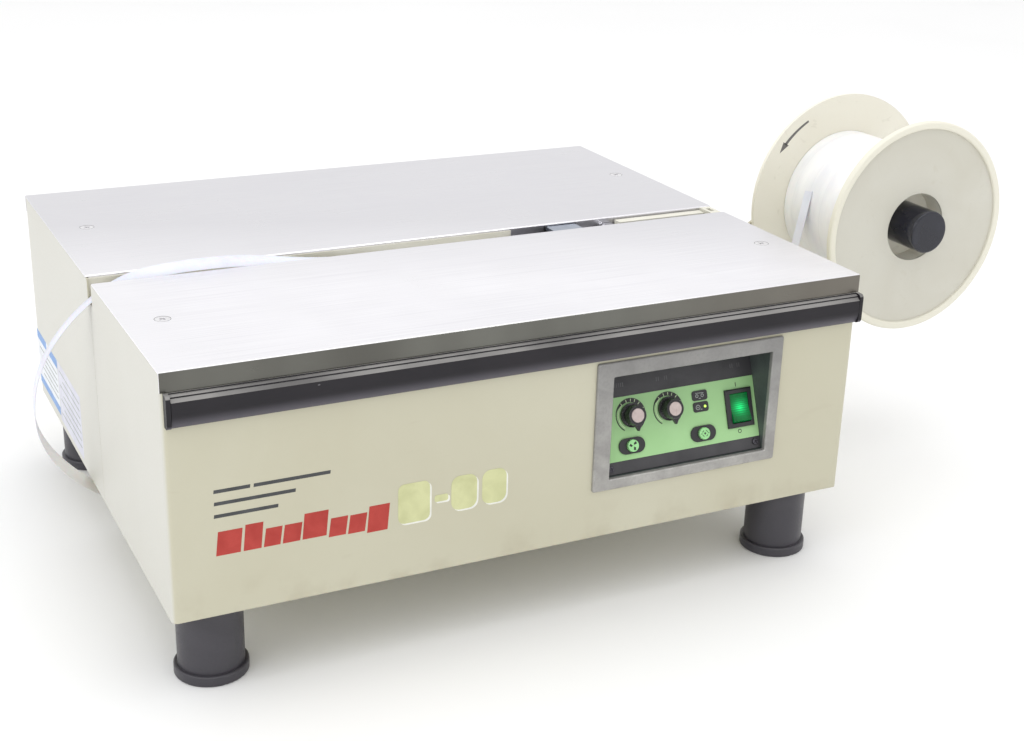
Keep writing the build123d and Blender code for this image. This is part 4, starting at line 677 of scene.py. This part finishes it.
button_icons = {
    "reset": [      # three blades
        [polar(0.9, turn), polar(4.0, turn - 26), polar(4.8, turn + 4), polar(2.6, turn + 28)]
        for turn in (50, 170, 290)
    ],
    "feed": [       # a ring in four parts round a dot
        arc_band(0, 0, *FULL_TURN, 0.0, 1.0, 12),
        *(arc_band(0, 0, turn, turn + 44, 2.7, 3.3, 6) for turn in (20, 110, 200, 290)),
        stroke((-4.3, 0.0), (-3.2, 0.0), 0.6),
        stroke((3.2, 0.0), (4.3, 0.0), 0.6),
    ],
}
for name, outlines in button_icons.items():
    plates(f"{name}_icon", moved(outlines, *BUTTONS[name]), on_panel,
           BUTTON_TOP - 0.02, BUTTON_TOP + 0.08, dark_ink, f"{name}_button")

marks = [
    rectangle(SWITCH[0] - 1.1, 63.5, 0.8, 4.2),
    arc_band(SWITCH[0] - 1.8, 20.2, *FULL_TURN, 1.4, 2.0, 24),
]
plates("switch_marks", marks, on_panel, FILM, FILM + PRINT, dark_ink)

bar_groups = (
    (431.0, 81.0, 5), (476.5, 81.0, 2), (485.5, 81.0, 2), (559.5, 82.0, 2), (567.5, 82.0, 2),
)
strip_marks = [
    rectangle(x + 2.2 * index, u, 1.0, 4.0) for x, u, count in bar_groups for index in range(count)
]
plates("strip_marks", strip_marks, on_panel, 0.0, PRINT, faint_ink)


def lamp_dome(shape):
    """A low round lens on the lower indicator window."""
    x, u, radius, rise = 526.1, WINDOWS["lower"][1], 1.35, 0.9
    levels, sides = 5, 20
    rings = []
    for level in range(levels):
        reach, lift = polar(1.0, 90 * level / levels)
        ring = [polar(radius * reach, 360 * side / sides) for side in range(sides)]
        rings.append([
            shape.verts.new(on_panel(x + a, u + b, WINDOW_TOP + rise * lift)) for a, b in ring
        ])
    skin(shape, rings)


lens = coated("lamp_lens", (206, 240, 120), (176, 222, 84), patch=300.0, grain=1500.0,
              rough=(0.12, 0.25))
lens.set("Emission Color", tone(190, 255, 90))
lens.set("Emission Strength", 1.1)
add_piece("indicator_lamp", lamp_dome, lens, "cabinet")


# ---------------------------------------------------------------------------
# Table: a dark hairline of painted shade in the seat of each countersunk screw in the top plates
# ---------------------------------------------------------------------------
def on_table(x, y, h):
    """A point on the table top, in world millimetres along x and y."""
    return Vector((x * MM, y * MM, CORNER.z + h * MM))


SCREW_RADIUS = 7.0
screw_low, screw_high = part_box("top_screws")
seats = [
    arc_band(x, y, *FULL_TURN, SCREW_RADIUS - 0.05, SCREW_RADIUS + 0.35, 36)
    for x in (screw_low.x / MM + SCREW_RADIUS, screw_high.x / MM - SCREW_RADIUS)
    for y in (screw_low.y / MM + SCREW_RADIUS, screw_high.y / MM - SCREW_RADIUS)
]
# Painted shade: a dark ring in the seam round each screw head.
plates("screw_seats", seats, on_table, -0.06, 0.0, ink("seat_shade", (96, 94, 94)))

# ---------------------------------------------------------------------------
# Generic marks on the covers, where the photograph has lettering
# ---------------------------------------------------------------------------
captions = (
    (39.0, -111.8, 31.0), (73.0, -111.8, 67.0),
    (39.0, -122.9, 70.0),
    (38.5, -134.2, 55.0),
)
plates("caption_bars", [rectangle(x, z, width, 3.2, 0.4) for x, z, width in captions], on_front,
       0.0, 0.08, ink("caption_ink", (70, 72, 74)))

red_blocks = (
    (39.0, -169.0, 21.0, 22.0), (62.5, -169.0, 15.5, 24.0), (80.0, -169.0, 14.5, 17.0),
    (96.5, -169.0, 15.5, 17.0), (114.0, -169.0, 21.5, 24.0), (137.5, -171.5, 15.5, 17.5),
    (155.0, -172.0, 15.5, 17.5), (172.5, -174.5, 19.0, 25.0),
)
plates("red_blocks", [rectangle(*block, 2.4) for block in red_blocks], on_front,
       0.0, PRINT, ink("red_ink", (182, 56, 46)))

gold_blocks = [
    rounded(216.5, -153.5, 30.0, 38.0, 6.0), rounded(242.5, -154.0, 13.0, 6.5, 2.0),
    rounded(264.5, -152.5, 25.0, 33.0, 8.0), rounded(294.0, -152.0, 24.0, 33.0, 8.0),
]
plates("block_shadows", moved(gold_blocks, 1.6, -1.6), on_front,
       0.0, PRINT, ink("white_ink", (238, 238, 230)))
plates("gold_blocks", gold_blocks, on_front,
       PRINT, 2 * PRINT, ink("pale_gold", (210, 212, 162)))

plates("side_label", [rectangle(454.0, -214.0, 109.0, 63.0)], on_left,
       0.0, PRINT, ink("label_white", (232, 235, 240)))
bands = [
    rectangle(454.0, -214.0, 109.0, 9.0),
    rectangle(454.0, -161.0, 42.0, 10.0), rectangle(512.0, -161.0, 51.0, 10.0),
]
plates("side_label_bands", bands, on_left,
       PRINT, 2 * PRINT, ink("blue_ink", (118, 160, 216)))
lines = [rectangle(460.0, -170.0 - 7.0 * row, 92.0 - 12.0 * (row % 3), 1.6) for row in range(5)]
plates("side_label_lines", lines, on_left, PRINT, 2 * PRINT, grey_ink)
plates("second_label", [rectangle(340.0, -218.0, 112.0, 68.0)], on_left,
       0.0, PRINT, ink("lavender", (214, 214, 226)))
lines = [rectangle(346.0, -160.0 - 8.0 * row, 98.0 - 14.0 * (row % 2), 1.4) for row in range(7)]
plates("second_label_lines", lines, on_left, PRINT, 2 * PRINT, grey_ink)


# ---------------------------------------------------------------------------
# Reel: turning arrow on the rear flange
# ---------------------------------------------------------------------------
def on_rear_flange(x, z, h):
    """A point on the inner face of the rear flange, from the reel's axis."""
    return at(REEL_AXIS[0] + x, FLANGE_FACE - h, REEL_AXIS[1] + z)


arrow = [
    arc_band(0, 0, 120.5, 141.0, lambda share: 109.4 - 0.4 * share,
             lambda share: 111.8 + 0.8 * share, 14),
    [polar(106.6, 139.8), polar(115.2, 140.6), polar(110.9, 147.0)],
]
plates("reel_arrow", arrow, on_rear_flange, 0.0, PRINT, ink("arrow_ink", (112, 110, 108)),
       "reel")

# ---------------------------------------------------------------------------
# Stage and light
# ---------------------------------------------------------------------------
floor_finish = coated("floor", (250, 250, 250), (247, 247, 247), patch=0.8, grain=90.0, depth=1e-5,
                      rough=(0.6, 0.75), speck=0.1)
bpy.ops.mesh.primitive_plane_add(size=60.0)
floor = bpy.context.active_object
floor.name = "floor"
floor.data.materials.append(floor_finish.material)

world = bpy.data.worlds.new("studio")
world.use_nodes = True
background = world.node_tree.nodes["Background"]
background.inputs["Color"].default_value = (1.0, 1.0, 1.0, 1.0)
background.inputs["Strength"].default_value = 1.0
bpy.context.scene.world = world


def soft_light(name, place, aim, size, power, colour=(1.0, 1.0, 1.0)):
    """A rectangular light of that size and power in watts, turned to its aim."""
    data = bpy.data.lights.new(name, "AREA")
    data.shape = "RECTANGLE"
    data.size, data.size_y = size
    data.energy = power
    data.color = colour
    light = bpy.data.objects.new(name, data)
    bpy.context.collection.objects.link(light)
    light.location = place
    light.rotation_euler = (Vector(aim) - Vector(place)).to_track_quat("-Z", "Y").to_euler()
    return light


soft_light("key", (-2.4, -0.6, 2.0), (0.0, 0.0, 0.2), (2.4, 1.6), 14.0, (0.95, 0.975, 1.0))
soft_light("overhead", (0.2, -0.2, 3.0), (0.0, 0.0, 0.0), (3.0, 2.4), 20.0)
for name, place in (("glint_left", (-1.0, -1.9, 1.5)), ("glint_right", (0.9, -1.8, 2.2))):
    glint = soft_light(name, place, (0.2, 0.0, 0.2), (0.12, 0.12), 7.0)
    glint.visible_diffuse = False        # only a highlight on the glossy parts
